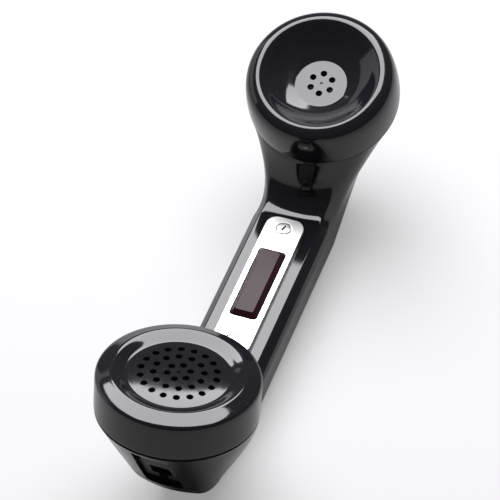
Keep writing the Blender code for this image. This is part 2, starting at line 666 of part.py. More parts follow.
def make_switch_bracket(materials):
    """A steel strap that hangs under the face from the two plate screws."""
    reach = 34.5
    leg = 26.0
    top = -WALL / MM - 0.3
    floor = (BRACKET_FLOOR - FACE_Z) / MM
    sheet = SHEET / MM
    upper = [(-reach, top), (-leg + sheet, top), (-leg + sheet, floor + sheet)]
    lower = [(-leg, floor), (-leg, top - sheet), (-reach, top - sheet)]
    outline = upper + [(-x, z) for x, z in upper[::-1]] + [(-x, z) for x, z in lower[::-1]] + lower
    place = (SWITCH_X, 0, FACE_Z)
    bracket = add_piece("switch_bracket", bent_strip(outline, 11 * MM), materials["plated_steel"],
                        location=place)
    bm = bmesh.new()
    for side in (-1, 1):
        rod(bm, 1.3 * MM, -6 * MM, -MM, (side * SCREW_OFFSET, 0), 12)
    block(bm, (18 * MM, 4 * MM, 4 * MM), (0, 0, floor * MM))
    cut(bracket, "bracket_cutter", bm, place)


def make_microswitch(materials):
    place = (SWITCH_X, 0, 0)
    bm = bmesh.new()
    height = CASE_TOP - CASE_BOTTOM
    block(bm, (19.8 * MM, 6.4 * MM, height), (0, 0, CASE_TOP - height / 2))
    case = add_piece("microswitch_case", bm, materials["black_plastic"], location=place)
    bm = bmesh.new()
    block(bm, (3.6 * MM, 2.4 * MM, 12 * MM), (0, 0, CASE_TOP))
    cut(case, "plunger_slot", bm, place)
    bm = bmesh.new()
    block(bm, (2.8 * MM, 1.7 * MM, 5.2 * MM), (0, 0, PLUNGER_TOP - 2.6 * MM))
    add_piece("microswitch_plunger", bm, materials["bar_plastic"], location=place)
    for name, offset in (("common", -7), ("open", 0), ("closed", 7)):
        bm = bmesh.new()
        block(bm, (0.5 * MM, 2.8 * MM, 5 * MM), (offset * MM, 0, CASE_BOTTOM - GAP - 2.5 * MM))
        add_piece("switch_terminal_" + name, bm, materials["gold_contact"], location=place)


def make_tube(name, points, radius, material, resolution):
    """A round wire along a smooth run of points."""
    curve = bpy.data.curves.new(name, "CURVE")
    curve.dimensions = "3D"
    curve.bevel_depth = radius
    curve.bevel_resolution = resolution
    curve.use_fill_caps = True
    spline = curve.splines.new("POLY")
    spline.points.add(len(points) - 1)
    for target, point in zip(spline.points, points):
        target.co = (*point, 1.0)
    curve.materials.append(material)
    piece = bpy.data.objects.new(name, curve)
    bpy.context.scene.collection.objects.link(piece)
    return piece


SPRING_TURNS = 4.5
SPRING_POINTS = 9


def make_return_springs(materials):
    wire = 0.3 * MM
    low = BRACKET_FLOOR + SHEET + GAP + wire
    high = FLANGE_UNDERSIDE - GAP - wire
    count = int(SPRING_TURNS * SPRING_POINTS)
    for name, side in (("return_spring_front", 1), ("return_spring_rear", -1)):
        points = []
        for step in range(count + 1):
            angle = math.tau * SPRING_TURNS * step / count
            points.append((SWITCH_X + side * SPRING_X + 2.0 * MM * math.cos(angle),
                           2.0 * MM * math.sin(angle), low + (high - low) * step / count))
        make_tube(name, points, wire, materials["plated_steel"], 0)


def make_damper(materials):
    """A soft block that stops sound passing through the handle."""
    bm = bmesh.new()
    block(bm, (11 * MM, 14 * MM, 15 * MM), (SWITCH_X + 46 * MM, 0, FACE_Z - 12.2 * MM))
    add_piece("handle_damper", bm, materials["grey_felt"])


# --- Cord socket -----------------------------------------------------------------------------

SOCKET_START = 22.0 * MM
SOCKET_WIDTH = 14.0 * MM
SOCKET_TOP = 19.0 * MM
SOCKET_LIP = 7.8 * MM
SOCKET_FOOT = -13.2 * MM
SOCKET_CHANNEL = 2.2 * MM
CUTTER_REACH = 6.0 * MM


def make_socket_axis(mouth):
    """An empty on the end wall, with its local +Z out of the wall and +X up it."""
    top = mouth.wall[0]
    down = (mouth.wall[-1] - top).normalized()
    place = top + down * SOCKET_START
    return add_empty("socket_axis", place, math.atan2(down.z, -down.x))


def make_socket(materials, axis):
    shelf = 3.4
    foot = SOCKET_FOOT / MM
    outline = ((7.5, -2.2), (7.5, -4.6), (shelf, -4.6), (shelf, -12.4), (foot, -12.4),
               (foot, -3.4), (foot + 2, -2.2))
    housing = add_piece("cord_socket", bent_strip(outline, SOCKET_WIDTH),
                        materials["black_plastic"], axis)
    bm = bmesh.new()
    block(bm, (8.6 * MM, 7.9 * MM, 12 * MM), (-2.3 * MM, 0, -5.0 * MM))
    cut(housing, "plug_cavity", bm, parent=axis)
    bm = bmesh.new()
    block(bm, (5.2 * MM, 3.6 * MM, 12 * MM), (-8.4 * MM, 0, -5.0 * MM))
    cut(housing, "latch_cavity", bm, parent=axis)
    wire = ((1.7, -10.6), (1.7, -3.4), (1.3, -3.4), (0.1, -9.6), (0.4, -9.8), (1.3, -5.2),
            (1.3, -10.6))
    for index in range(4):
        offset = (index - 1.5) * 1.27 * MM
        bm = bent_strip(wire, 0.5 * MM)
        add_piece(f"socket_contact_{index + 1}", bm, materials["gold_contact"], axis,
                  (0, offset, 0))


# --- Leads -------------------------------------------------------------------------------------

LEAD_RADIUS = 0.85 * MM
LEAD_STEP = 5.0 * MM


def smooth_route(points, spacing):
    """Points along a Catmull-Rom curve through the route, at even spacing."""
    ends = [points[0] * 2 - points[1], *points, points[-1] * 2 - points[-2]]
    fine = []
    for a, b, c, d in zip(ends, ends[1:], ends[2:], ends[3:]):
        for step in range(20):
            t = step / 20
            fine.append((b * 2 + (c - a) * t + (a * 2 - b * 5 + c * 4 - d) * t ** 2
                         + (b * 3 - a - c * 3 + d) * t ** 3) / 2)
    fine.append(points[-1])
    lengths = [0.0]
    for a, b in zip(fine, fine[1:]):
        lengths.append(lengths[-1] + (b - a).length)
    count = max(4, round(lengths[-1] / spacing))
    route = []
    for step in range(count + 1):
        target = lengths[-1] * step / count
        index = next(i for i in range(1, len(lengths)) if lengths[i] >= target - 1e-9)
        share = (target - lengths[index - 1]) / (lengths[index] - lengths[index - 1])
        route.append(fine[index - 1].lerp(fine[index], share))
    return route


def make_leads(materials, mouth_axis, ear_axis, socket_axis):
    bpy.context.view_layer.update()
    mouth = mouth_axis.matrix_world
    ear = ear_axis.matrix_world
    socket = socket_axis.matrix_world

    def at(frame, x, y, z):
        return frame @ (Vector((x, y, z)) * MM)

    def along(x, y, depth):
        return Vector((SWITCH_X + x * MM, y * MM, FACE_Z - depth * MM))

    def receiver_lead(side):
        return [
            at(ear, -2.9, 7.9 * side, -10.0), at(ear, -8, 9 * side, -12.5),
            along(52, 9.6 * side, 13), along(20, 9 * side, 15.5), along(-20, 9 * side, 15.5),
            along(-52, 9.4 * side, 13.5), at(socket, -9, 5 * side, -18.5),
            at(socket, -9, 4.6 * side, -13.3),
        ]

    routes = {
        "red_sleeve": ("lead_receiver_red", receiver_lead(1)),
        "white_sleeve": ("lead_receiver_white", receiver_lead(-1)),
        "black_sleeve": ("lead_switch_black", [
            along(-7, -3, 16.5), along(-14, -5.5, 17.5), along(-40, -5, 12),
            at(mouth, 10, -10, -14), at(mouth, 1.5, -10.4, -13), at(mouth, 0, -10, -9.6),
        ]),
        "green_sleeve": ("lead_transmitter_green", [
            at(mouth, 0, 10, -10.2), at(mouth, -0.5, 10, -13.4), at(socket, -3, 6, -18),
            at(socket, -3, 4.4, -13.3),
        ]),
        "yellow_sleeve": ("lead_switch_yellow", [
            along(0, -3, 16.5), along(-8, -1.5, 19), along(-30, 0, 16), along(-52, -2, 16.5),
            at(socket, -6, -4, -19.5), at(socket, -6, -4.4, -13.3),
        ]),
    }
    for sleeve, (name, points) in routes.items():
        make_tube(name, smooth_route(points, LEAD_STEP), LEAD_RADIUS, materials[sleeve], 2)


clear_scene()
MATERIALS = make_materials()
MOUTH, EAR = make_elbows()
MOUTH_AXIS = add_empty("transmitter_axis", MOUTH_SEAM, MOUTH_LEAN)
EAR_AXIS = add_empty("receiver_axis", EAR_SEAM, -EAR_LEAN)
SOCKET_AXIS = make_socket_axis(MOUTH)
SHELL = make_shell(MATERIALS, MOUTH, EAR)
make_caps(MATERIALS, MOUTH_AXIS, EAR_AXIS)
make_transmitter(MATERIALS, MOUTH_AXIS)
make_contact_cup(MATERIALS, MOUTH_AXIS)
make_receiver(MATERIALS, EAR_AXIS)
make_switch_plate(MATERIALS)
make_talk_bar(MATERIALS)
make_switch_bracket(MATERIALS)
make_microswitch(MATERIALS)
make_return_springs(MATERIALS)
make_damper(MATERIALS)
make_socket(MATERIALS, SOCKET_AXIS)
make_leads(MATERIALS, MOUTH_AXIS, EAR_AXIS, SOCKET_AXIS)
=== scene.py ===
# %% [markdown]
# # A telephone handset with a push-to-talk bar
#
# The packed model already holds every part in its true place. This lesson dresses it: the
# outer mouldings, the caps, the metal plate and the parts inside are modelled again as
# smooth, finished pieces, and every surface gets a material made of nodes.

# %% Load the packed model
import json
import math

import bmesh
import bpy
from mathutils import Matrix, Vector

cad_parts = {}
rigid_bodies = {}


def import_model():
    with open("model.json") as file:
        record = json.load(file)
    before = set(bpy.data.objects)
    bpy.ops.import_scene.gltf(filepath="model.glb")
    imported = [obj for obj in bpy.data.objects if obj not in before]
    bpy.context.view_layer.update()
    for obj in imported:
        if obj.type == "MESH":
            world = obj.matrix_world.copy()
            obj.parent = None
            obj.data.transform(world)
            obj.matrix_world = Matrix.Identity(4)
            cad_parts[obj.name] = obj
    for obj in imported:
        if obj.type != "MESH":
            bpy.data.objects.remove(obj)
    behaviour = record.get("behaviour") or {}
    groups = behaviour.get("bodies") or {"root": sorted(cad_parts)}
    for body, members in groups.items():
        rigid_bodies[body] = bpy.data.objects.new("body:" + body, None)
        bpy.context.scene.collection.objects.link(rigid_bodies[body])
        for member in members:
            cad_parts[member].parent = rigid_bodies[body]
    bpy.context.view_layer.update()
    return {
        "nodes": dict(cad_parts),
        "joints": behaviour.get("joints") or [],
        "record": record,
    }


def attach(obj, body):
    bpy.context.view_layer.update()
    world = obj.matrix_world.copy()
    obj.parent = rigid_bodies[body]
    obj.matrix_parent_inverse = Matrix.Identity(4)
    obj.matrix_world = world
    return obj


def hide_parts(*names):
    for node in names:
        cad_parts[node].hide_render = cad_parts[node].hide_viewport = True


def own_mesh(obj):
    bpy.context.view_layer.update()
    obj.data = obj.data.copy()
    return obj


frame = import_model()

MM = 0.001
NODES = frame["nodes"]
BODY_OF = {node: body for body, nodes in frame["record"]["behaviour"]["bodies"].items()
           for node in nodes}
JOINTS = {joint["name"]: joint for joint in frame["joints"]}
SCENE = bpy.context.scene.collection.objects
print("parts loaded:", len(NODES), "joints:", list(JOINTS))

# %% [markdown]
# ## The camera
#
# The camera comes first, because it decides which surfaces are seen and what they reflect.
# A long lens from about a metre away keeps the far earpiece nearly as large as the near
# mouthpiece, as a catalogue picture does. The direction is given by two vectors, where it
# looks and which way is up, and the third one, to the right, follows from a cross product.

# %% Camera
CAMERA_PLACE = Vector((-0.70175, -0.26820, 0.89100))
CAMERA_FORWARD = Vector((0.622, 0.239, -0.746))
CAMERA_UP = Vector((0.706, 0.240, 0.666))
CAMERA_LENS = 216.26

camera = bpy.data.objects.new("camera", bpy.data.cameras.new("camera"))
SCENE.link(camera)
right = CAMERA_FORWARD.cross(CAMERA_UP).normalized()
upward = right.cross(CAMERA_FORWARD).normalized()
turn = Matrix((right, upward, -CAMERA_FORWARD.normalized())).transposed()
camera.matrix_world = Matrix.Translation(CAMERA_PLACE) @ turn.to_4x4()
camera.data.lens = CAMERA_LENS
bpy.context.scene.camera = camera
print("camera", round(CAMERA_PLACE.length, 3), "m from the origin")

# %% [markdown]
# ## A short hand for node trees
#
# Every material is a small tree of nodes. Writing each node and link out by hand takes many
# lines, so this class adds a node, sets its options and joins its inputs in one call. An
# input that is given another node's output is linked, and any other value is typed in.

# %% Helper for shader nodes
class Graph:
    """Adds shader nodes to a tree, and joins them by the names of their inputs."""

    def __init__(self, tree):
        self.tree = tree

    def add(self, kind, inputs=None, **options):
        node = self.tree.nodes.new("ShaderNode" + kind)
        for option, value in options.items():
            setattr(node, option, value)
        self.feed(node, inputs or {})
        return node

    def feed(self, node, inputs):
        for socket, value in inputs.items():
            if isinstance(value, bpy.types.NodeSocket):
                self.tree.links.new(value, node.inputs[socket])
            else:
                node.inputs[socket].default_value = value

    def math(self, operation, *values):
        return self.add("Math", dict(enumerate(values)), operation=operation).outputs[0]

    def noise(self, vector, scale, detail=2.0):
        inputs = {"Vector": vector, "Scale": scale, "Detail": detail}
        return self.add("TexNoise", inputs).outputs["Fac"]

    def spread(self, value, low, high, to_low=0.0, to_high=1.0):
        """Stretches low..high to to_low..to_high, and stops at its ends."""
        inputs = {"Value": value, "From Min": low, "From Max": high, "To Min": to_low,
                  "To Max": to_high}
        return self.add("MapRange", inputs).outputs["Result"]

    def blend(self, factor, first, second):
        """A colour between the first and the second."""
        node = self.add("Mix", data_type="RGBA")
        self.feed(node, {0: factor, 6: first, 7: second})
        return node.outputs[2]

    def group(self, tree, inputs):
        node = self.add("Group", node_tree=tree)
        self.feed(node, inputs)
        return node.outputs


print("short hand:", [name for name in vars(Graph) if not name.startswith("_")])

# %% [markdown]
# ## The studio
#
# Black polished plastic shows almost nothing but reflections, so the lights are placed by
# what each surface should mirror. One large soft box hangs overhead and behind, where the
# flat face of the handle and the lips of the caps look from the camera. A dim card at the
# side gives the slope of the ear dish something to mirror. The floor is pale and plain. It
# glows a little to the camera alone, so that it stays light round the handset without showing
# brighter in the black plastic, and it lies a hair below the back of the handle.

# %% Studio
FLOOR_SIZE = 6.0
FLOOR_TONE = 0.32
FLOOR_GLOW = 0.30
FLOOR_DROP = 0.0001
SOFT_BOX_PLACE = (0.46, 0.19, 1.02)
SOFT_BOX_SIZE = (1.3, 1.12)
SOFT_BOX_POWER = 40.0
LAMP_TINT = (0.985, 0.965, 1.0)
SIDE_CARD_PLACE = (0.25, 1.25, 0.42)
SIDE_CARD_SIZE = (1.3, 0.55)
SIDE_CARD_POWER = 1.6
WORLD_STRENGTH = 0.10


def area_light(name, place, target, width, height, power):
    """A rectangular lamp at place that faces the target."""
    lamp = bpy.data.lights.new(name, "AREA")
    lamp.shape = "RECTANGLE"
    lamp.size = width
    lamp.size_y = height
    lamp.energy = power
    lamp.color = LAMP_TINT
    holder = bpy.data.objects.new(name, lamp)
    SCENE.link(holder)
    holder.location = place
    holder.rotation_euler = (Vector(target) - Vector(place)).to_track_quat("-Z", "Y").to_euler()


def make_floor():
    """A wide pale sheet that is staged, so it isn't part of the handset."""
    bm = bmesh.new()
    bmesh.ops.create_grid(bm, x_segments=1, y_segments=1, size=FLOOR_SIZE / 2)
    mesh = bpy.data.meshes.new("floor")
    bm.to_mesh(mesh)
    bm.free()
    floor = bpy.data.objects.new("floor", mesh)
    SCENE.link(floor)
    floor.location.z = -FLOOR_DROP
    material = bpy.data.materials.new("pale_floor")
    material.use_nodes = True
    shader = material.node_tree.nodes["Principled BSDF"]
    shader.inputs["Base Color"].default_value = (FLOOR_TONE, FLOOR_TONE, FLOOR_TONE, 1)
    shader.inputs["Roughness"].default_value = 0.9
    shader.inputs["Specular IOR Level"].default_value = 0.0
    shader.inputs["Emission Color"].default_value = (1, 1, 1, 1)
    graph = Graph(material.node_tree)
    camera_ray = graph.add("LightPath").outputs["Is Camera Ray"]
    graph.feed(shader, {"Emission Strength": graph.math("MULTIPLY", camera_ray, FLOOR_GLOW)})
    mesh.materials.append(material)


make_floor()
area_light("overhead_soft_box", SOFT_BOX_PLACE, (0, 0, 0.03), *SOFT_BOX_SIZE, SOFT_BOX_POWER)
area_light("side_card", SIDE_CARD_PLACE, (0, 0, 0.06), *SIDE_CARD_SIZE, SIDE_CARD_POWER)
world = bpy.data.worlds.new("studio")
world.use_nodes = True
world.node_tree.nodes["Background"].inputs["Color"].default_value = (1, 1, 1, 1)
world.node_tree.nodes["Background"].inputs["Strength"].default_value = WORLD_STRENGTH
bpy.context.scene.world = world
bpy.context.scene.view_settings.view_transform = "Standard"

# %% [markdown]
# ## Shared effects
#
# Wear, dust and tool marks are the same on many finishes, so each is a node group, made once.
# A group starts as named sockets on both sides, and a function fills in what lies between.

# %% Helper for node groups
def make_group(name, inputs, outputs, fill):
    """A node group. fill adds its nodes, and returns what each of its outputs is given."""
    tree = bpy.data.node_groups.new(name, "ShaderNodeTree")
    for label, kind in inputs.items():
        tree.interface.new_socket(label, in_out="INPUT", socket_type="NodeSocket" + kind)
    for label, kind in outputs.items():
        tree.interface.new_socket(label, in_out="OUTPUT", socket_type="NodeSocket" + kind)
    source = tree.nodes.new("NodeGroupInput").outputs
    result = tree.nodes.new("NodeGroupOutput")
    graph = Graph(tree)
    graph.feed(result, fill(graph, source))
    print("group", name, "has", len(tree.nodes), "nodes")
    return tree


ROUGH_AND_HEIGHT = {"Roughness": "Float", "Height": "Float"}
print("a group of finish gives", list(ROUGH_AND_HEIGHT))

# %% [markdown]
# ## Polish
#
# A polished moulding is never a perfect mirror. Where the plastic shrank in the tool its
# surface rises and falls by microns over a few millimetres, fingers leave dull patches, and
# cleaning leaves hair lines. Two noises make the first two. The hair lines are the places
# where a third noise, drawn out along the handle, is very close to one value: such places
# form thin curves on any surface, which a thresholded noise alone wouldn't give.

# %% Group: polish
def fill_polish(graph, source):
    ripple = graph.noise(source["Vector"], 160.0, 0.0)
    patches = graph.spread(graph.noise(source["Vector"], 42.0, 4.0), 0.48, 0.66)
    drawn = graph.add("Mapping", {"Vector": source["Vector"], "Scale": (0.25, 1.0, 1.0)})
    field = graph.noise(drawn.outputs[0], 260.0, 1.0)
    away = graph.math("ABSOLUTE", graph.math("SUBTRACT", field, 0.5))
    hairs = graph.spread(away, 0.0, 0.004, 1.0, 0.0)
    worn = graph.math("MULTIPLY", graph.math("MULTIPLY", hairs, patches), source["Hair Lines"])
    dull = graph.math("MULTIPLY_ADD", patches, source["Smudge"], source["Gloss"])
    return {"Roughness": graph.math("ADD", dull, worn),
            "Height": graph.math("SUBTRACT", ripple, worn)}


POLISH_INPUTS = {"Vector": "Vector", "Gloss": "Float", "Smudge": "Float", "Hair Lines": "Float"}
POLISH = make_group("Polish", POLISH_INPUTS, ROUGH_AND_HEIGHT, fill_polish)

# %% [markdown]
# ## Dust
#
# Dust settles on what faces up and stays in the hollows that nobody wipes. The upright part
# of the surface normal says how much a face looks up, and a fine noise breaks the dust into
# specks. The group gives only a mask, and each material chooses its colour and its dullness.

# %% Group: settled dust
def fill_dust(graph, source):
    normal = graph.add("NewGeometry").outputs["Normal"]
    facing_up = graph.spread(graph.add("SeparateXYZ", {0: normal}).outputs[2], 0.3, 1.0)
    specks = graph.spread(graph.noise(source["Vector"], 2400.0, 2.0), 0.66, 0.74)
    drifts = graph.spread(graph.noise(source["Vector"], 90.0, 3.0), 0.35, 0.75)
    mask = graph.math("MULTIPLY", graph.math("MULTIPLY", specks, drifts), facing_up)
    return {"Mask": graph.math("MULTIPLY", mask, source["Amount"])}


DUST = make_group("Settled Dust", {"Vector": "Vector", "Amount": "Float"}, {"Mask": "Float"},
                  fill_dust)

# %% [markdown]
# ## Rubbed edges
#
# Edges rub first. The Bevel node gives the normal that the surface would have if its edges
# were rounded, and where that differs from the true one there is an edge nearby. A noise
# keeps the rubbing from looking like a drawn outline.

# %% Group: rubbed edges
def fill_rubbed(graph, source):
    rounded = graph.add("Bevel", {"Radius": source["Width"]}, samples=6).outputs["Normal"]
    true = graph.add("NewGeometry").outputs["Normal"]
    same = graph.add("VectorMath", {0: rounded, 1: true}, operation="DOT_PRODUCT").outputs["Value"]
    edge = graph.spread(same, 0.995, 0.90, 0.0, 1.0)
    uneven = graph.spread(graph.noise(source["Vector"], 700.0, 3.0), 0.35, 0.65)
    return {"Mask": graph.math("MULTIPLY", edge, uneven)}


RUBBED = make_group("Rubbed Edges", {"Vector": "Vector", "Width": "Float"}, {"Mask": "Float"},
                    fill_rubbed)

# %% [markdown]
# ## Grain in two colours
#
# Resin, felt, film, sintered iron and zinc plating all have a grain: specks of a lighter
# tone in a darker one, raised a little. One group serves them all, with its own size and
# colours in each material. Two noises, one eight times finer, keep it from looking regular.

# %% Group: two-tone grain
def fill_grain(graph, source):
    coarse = graph.noise(source["Vector"], source["Scale"], 3.0)
    fine = graph.noise(source["Vector"], graph.math("MULTIPLY", source["Scale"], 8.0), 2.0)
    height = graph.math("MULTIPLY_ADD", fine, 0.5, graph.math("MULTIPLY", coarse, 0.5))
    share = graph.spread(height, 0.38, 0.62)
    colour = graph.blend(share, source["Dark"], source["Light"])
    return {"Color": colour, "Height": height}


GRAIN_INPUTS = {"Vector": "Vector", "Scale": "Float", "Dark": "Color", "Light": "Color"}
GRAIN = make_group("Two-Tone Grain", GRAIN_INPUTS, {"Color": "Color", "Height": "Float"},
                   fill_grain)

# %% [markdown]
# ## Tool lines
#
# Metal keeps the marks of how it was made. Rolled strip and brushed plate have straight
# lines, and a turned or spun piece has rings about its axis. Both come from one noise that
# is read along a single number: the distance across the lines, or the radius from the axis.
# A one-dimensional noise gives lines that never cross, as a tool leaves them.

# %% Group: tool lines
def fill_tool_lines(graph, source):
    lines = graph.add("TexNoise", {"Scale": 1.0, "Detail": 3.0, "Roughness": 0.7},
                      noise_dimensions="1D")
    graph.feed(lines, {"W": graph.math("MULTIPLY", source["Across"], source["Lines per Metre"])})
    height = lines.outputs["Fac"]
    rough = graph.math("MULTIPLY_ADD", height, source["Variation"], source["Gloss"])
    return {"Roughness": rough, "Height": height}


TOOL_LINE_INPUTS = {"Across": "Float", "Lines per Metre": "Float", "Gloss": "Float",
                    "Variation": "Float"}
TOOL_LINES = make_group("Tool Lines", TOOL_LINE_INPUTS, ROUGH_AND_HEIGHT, fill_tool_lines)

# %% [markdown]
# ## The two cups as places
#
# Most pieces at each end are turned about the axis of their cup. The joints of the packed
# model say where that axis is: the cap's hinge has its direction and a point on it, at the
# middle of the seam between cup and cap. A matrix made from them moves anything that was
# turned about the world's Z axis into its cup.

# %% Axes of the two cups, and of the cord socket
def cup_place(joint_name):
    """The matrix that takes Z to the joint's axis and the origin to its point."""
    joint = JOINTS[joint_name]
    out = Vector(joint["axis"]).normalized()
    along = Vector((out.z, 0, -out.x))
    columns = Matrix((along, Vector((0, 1, 0)), out)).transposed()
    return Matrix.Translation(Vector(joint["pos_m"])) @ columns.to_4x4()


MOUTH = cup_place("mouth_cap_turn")
EAR = cup_place("ear_cap_turn")
LEVEL = Matrix.Identity(4)
print("mouth seam at", [round(v, 4) for v in MOUTH.translation])
print("ear seam at", [round(v, 4) for v in EAR.translation])

# %% [markdown]
# ## Materials
#
# Each family of finish is a function, so that all its members are built alike and differ
# only in their values. What is the same all over a surface is set on the shader itself, and
# only what varies comes in through a link.

# %% Material families
def new_material(name, colour, roughness, metallic=0.0, constants=()):
    """A Principled material, its graph and its shader, with the constants set."""
    material = bpy.data.materials.new(name)
    material.use_nodes = True
    shader = material.node_tree.nodes["Principled BSDF"]
    shader.inputs["Base Color"].default_value = (*colour, 1)
    shader.inputs["Roughness"].default_value = roughness
    shader.inputs["Metallic"].default_value = metallic
    for socket, value in dict(constants).items():
        shader.inputs[socket].default_value = value
    return material, Graph(material.node_tree), shader


def place_on_piece(graph, place=LEVEL):
    """Object coordinates, brought back to the frame that the piece was turned in."""
    where = graph.add("TexCoord").outputs["Object"]
    if place is LEVEL:
        return where
    back = place.inverted()
    inputs = {"Vector": where, "Location": back.translation, "Rotation": back.to_euler()}
    return graph.add("Mapping", inputs).outputs[0]


def raise_surface(graph, shader, height, depth):
    """Joins a height to the shader's normal as a bump of this depth in metres."""
    bump = graph.add("Bump", {"Height": height, "Distance": depth})
    graph.feed(shader, {"Normal": bump.outputs["Normal"]})


def polished_plastic(name, colour, gloss, smudge=0.05, hairs=0.10, ripple=0.006, dust=0.0,
                     ior=1.54):
    """Moulded plastic. The ripple is in millimetres."""
    material, graph, shader = new_material(name, colour, gloss, 0.0, {"IOR": ior})
    where = place_on_piece(graph)
    polish = graph.group(POLISH, {"Vector": where, "Gloss": gloss, "Smudge": smudge,
                                  "Hair Lines": hairs})
    settled = graph.group(DUST, {"Vector": where, "Amount": dust})["Mask"]
    dusty = graph.blend(settled, (*colour, 1), (0.30, 0.29, 0.28, 1))
    rough = graph.math("MULTIPLY_ADD", settled, 0.5, polish["Roughness"])
    graph.feed(shader, {"Base Color": dusty, "Roughness": rough})
    raise_surface(graph, shader, polish["Height"], ripple * MM)
    return material


def tooled_metal(name, colour, gloss, variation, lines, place=None, depth=0.004, worn=None):
    """Metal with straight lines along X or, with a place, with rings about its axis."""
    material, graph, shader = new_material(name, colour, gloss, 1.0)
    where = place_on_piece(graph, place or LEVEL)
    parts = graph.add("SeparateXYZ", {0: where}).outputs
    across = graph.math("ADD", parts[1], graph.math("MULTIPLY", parts[2], 0.7))
    if place:
        flat = graph.add("CombineXYZ", {0: parts[0], 1: parts[1]}).outputs[0]
        across = graph.add("VectorMath", {0: flat}, operation="LENGTH").outputs["Value"]
    marks = graph.group(TOOL_LINES, {"Across": across, "Lines per Metre": lines, "Gloss": gloss,
                                     "Variation": variation})
    graph.feed(shader, {"Roughness": marks["Roughness"]})
    if worn:
        edge = graph.group(RUBBED, {"Vector": where, "Width": 0.25 * MM})["Mask"]
        graph.feed(shader, {"Base Color": graph.blend(edge, (*colour, 1), (*worn, 1))})
    raise_surface(graph, shader, marks["Height"], depth * MM)
    return material


def grained(name, dark, light, scale, roughness, depth, metallic=0.0, constants=()):
    """Two tones of grain, raised by depth in millimetres."""
    material, graph, shader = new_material(name, dark, roughness, metallic, constants)
    where = place_on_piece(graph)
    grain = graph.group(GRAIN, {"Vector": where, "Scale": scale, "Dark": (*dark, 1),
                                "Light": (*light, 1)})
    rough = graph.spread(grain["Height"], 0.3, 0.7, roughness - 0.08, roughness + 0.08)
    graph.feed(shader, {"Base Color": grain["Color"], "Roughness": rough})
    raise_surface(graph, shader, grain["Height"], depth * MM)
    return material


print("families:", [family.__name__ for family in (polished_plastic, tooled_metal, grained)])

# %% [markdown]
# ## The finishes
#
# Each finish is one call to a family. The two spun alloys differ only in the cup whose axis
# their rings run round, and the sleeves of the leads only in their colour.

# %% Materials of this handset
FINISH = {
    "black_plastic": polished_plastic("polished_black", (0.006, 0.006, 0.008), 0.07, dust=0.25),
    "bar_plastic": polished_plastic("red_brown_bar", (0.015, 0.0035, 0.005), 0.30, 0.06, 0.1, 0.01,
                                    ior=1.28),
    "inner_black": polished_plastic("black_nylon", (0.012, 0.012, 0.013), 0.40, 0.08, 0.1, 0.02),
    "bright_metal": tooled_metal("brushed_plate", (0.88, 0.88, 0.87), 0.24, 0.14, 9000.0,
                                 worn=(0.97, 0.97, 0.96)),
    "screw_metal": tooled_metal("nickel_screw", (0.80, 0.79, 0.77), 0.30, 0.10, 7000.0,
                                depth=0.001),
    "plated_steel": grained("zinc_plate", (0.47, 0.46, 0.42), (0.68, 0.66, 0.58), 900.0, 0.34,
                            0.004, 1.0),
    "spring_bronze": tooled_metal("rolled_bronze", (0.66, 0.42, 0.19), 0.24, 0.16, 6000.0),
    "gold_contact": tooled_metal("gold_flash", (0.88, 0.64, 0.24), 0.16, 0.12, 6000.0),
    "mouth_alloy": tooled_metal("spun_alloy_mouth", (0.63, 0.64, 0.65), 0.28, 0.2, 5000.0, MOUTH),
    "ear_alloy": tooled_metal("spun_alloy_ear", (0.63, 0.64, 0.65), 0.28, 0.2, 5000.0, EAR),
    # A dark, dull alloy that is painted shade: it darkens the screw slots and the plates seen
    # through the sound holes.
    "painted_shade_alloy": grained("painted_shade_metal", (0.035, 0.035, 0.034), (0.075, 0.075, 0.07), 900.0,
                          0.6, 0.004, 0.6),
    "magnet_iron": grained("sintered_iron", (0.055, 0.055, 0.06), (0.17, 0.17, 0.18), 2600.0,
                           0.5, 0.03, 0.7),
    "coil_copper": grained("copper_winding", (0.36, 0.13, 0.05), (0.66, 0.30, 0.14), 1500.0,
                           0.32, 0.02, 1.0),
    "brown_resin": grained("brown_resin", (0.085, 0.036, 0.016), (0.20, 0.095, 0.045), 260.0,
                           0.38, 0.01, 0.0, {"IOR": 1.6}),
    "ivory_film": grained("ivory_film", (0.62, 0.55, 0.40), (0.76, 0.70, 0.55), 420.0, 0.42,
                          0.006),
    "grey_felt": grained("grey_felt", (0.17, 0.17, 0.165), (0.46, 0.455, 0.44), 1300.0, 0.93,
                         0.25, 0.0, {"Sheen Weight": 0.4, "Sheen Roughness": 0.5}),
}
SLEEVE_COLOURS = {"red_sleeve": (0.50, 0.025, 0.018), "white_sleeve": (0.74, 0.73, 0.69),
                  "green_sleeve": (0.025, 0.24, 0.06), "yellow_sleeve": (0.62, 0.43, 0.03),
                  "black_sleeve": (0.018, 0.018, 0.018)}
for name, colour in SLEEVE_COLOURS.items():
    FINISH[name] = polished_plastic(name, colour, 0.36, 0.1, 0.1, 0.02)
print("materials:", len(FINISH))

# %% [markdown]
# ## Finishing a piece
#
# Every piece ends the same way. Its doubles are welded, its faces turned outwards, it is
# shaded smooth with crisp edges kept, and it is handed to the frame: the body that it rides
# on, in place of the plain part that it stands for.

# %% Helpers that finish, cut and round a piece
WELD = 1e-6
CRISP = math.radians(32)


def face_outwards(bm):
    """Turns the faces outwards. Their own normals are brought up to date first, because a
    transform leaves them as they were, and the operator starts from them. It can still turn
    a body with slivers inside out, and a volume below zero gives that away."""
    bm.normal_update()
    bmesh.ops.recalc_face_normals(bm, faces=bm.faces)
    if bm.calc_volume(signed=True) < 0:
        bmesh.ops.reverse_faces(bm, faces=bm.faces)


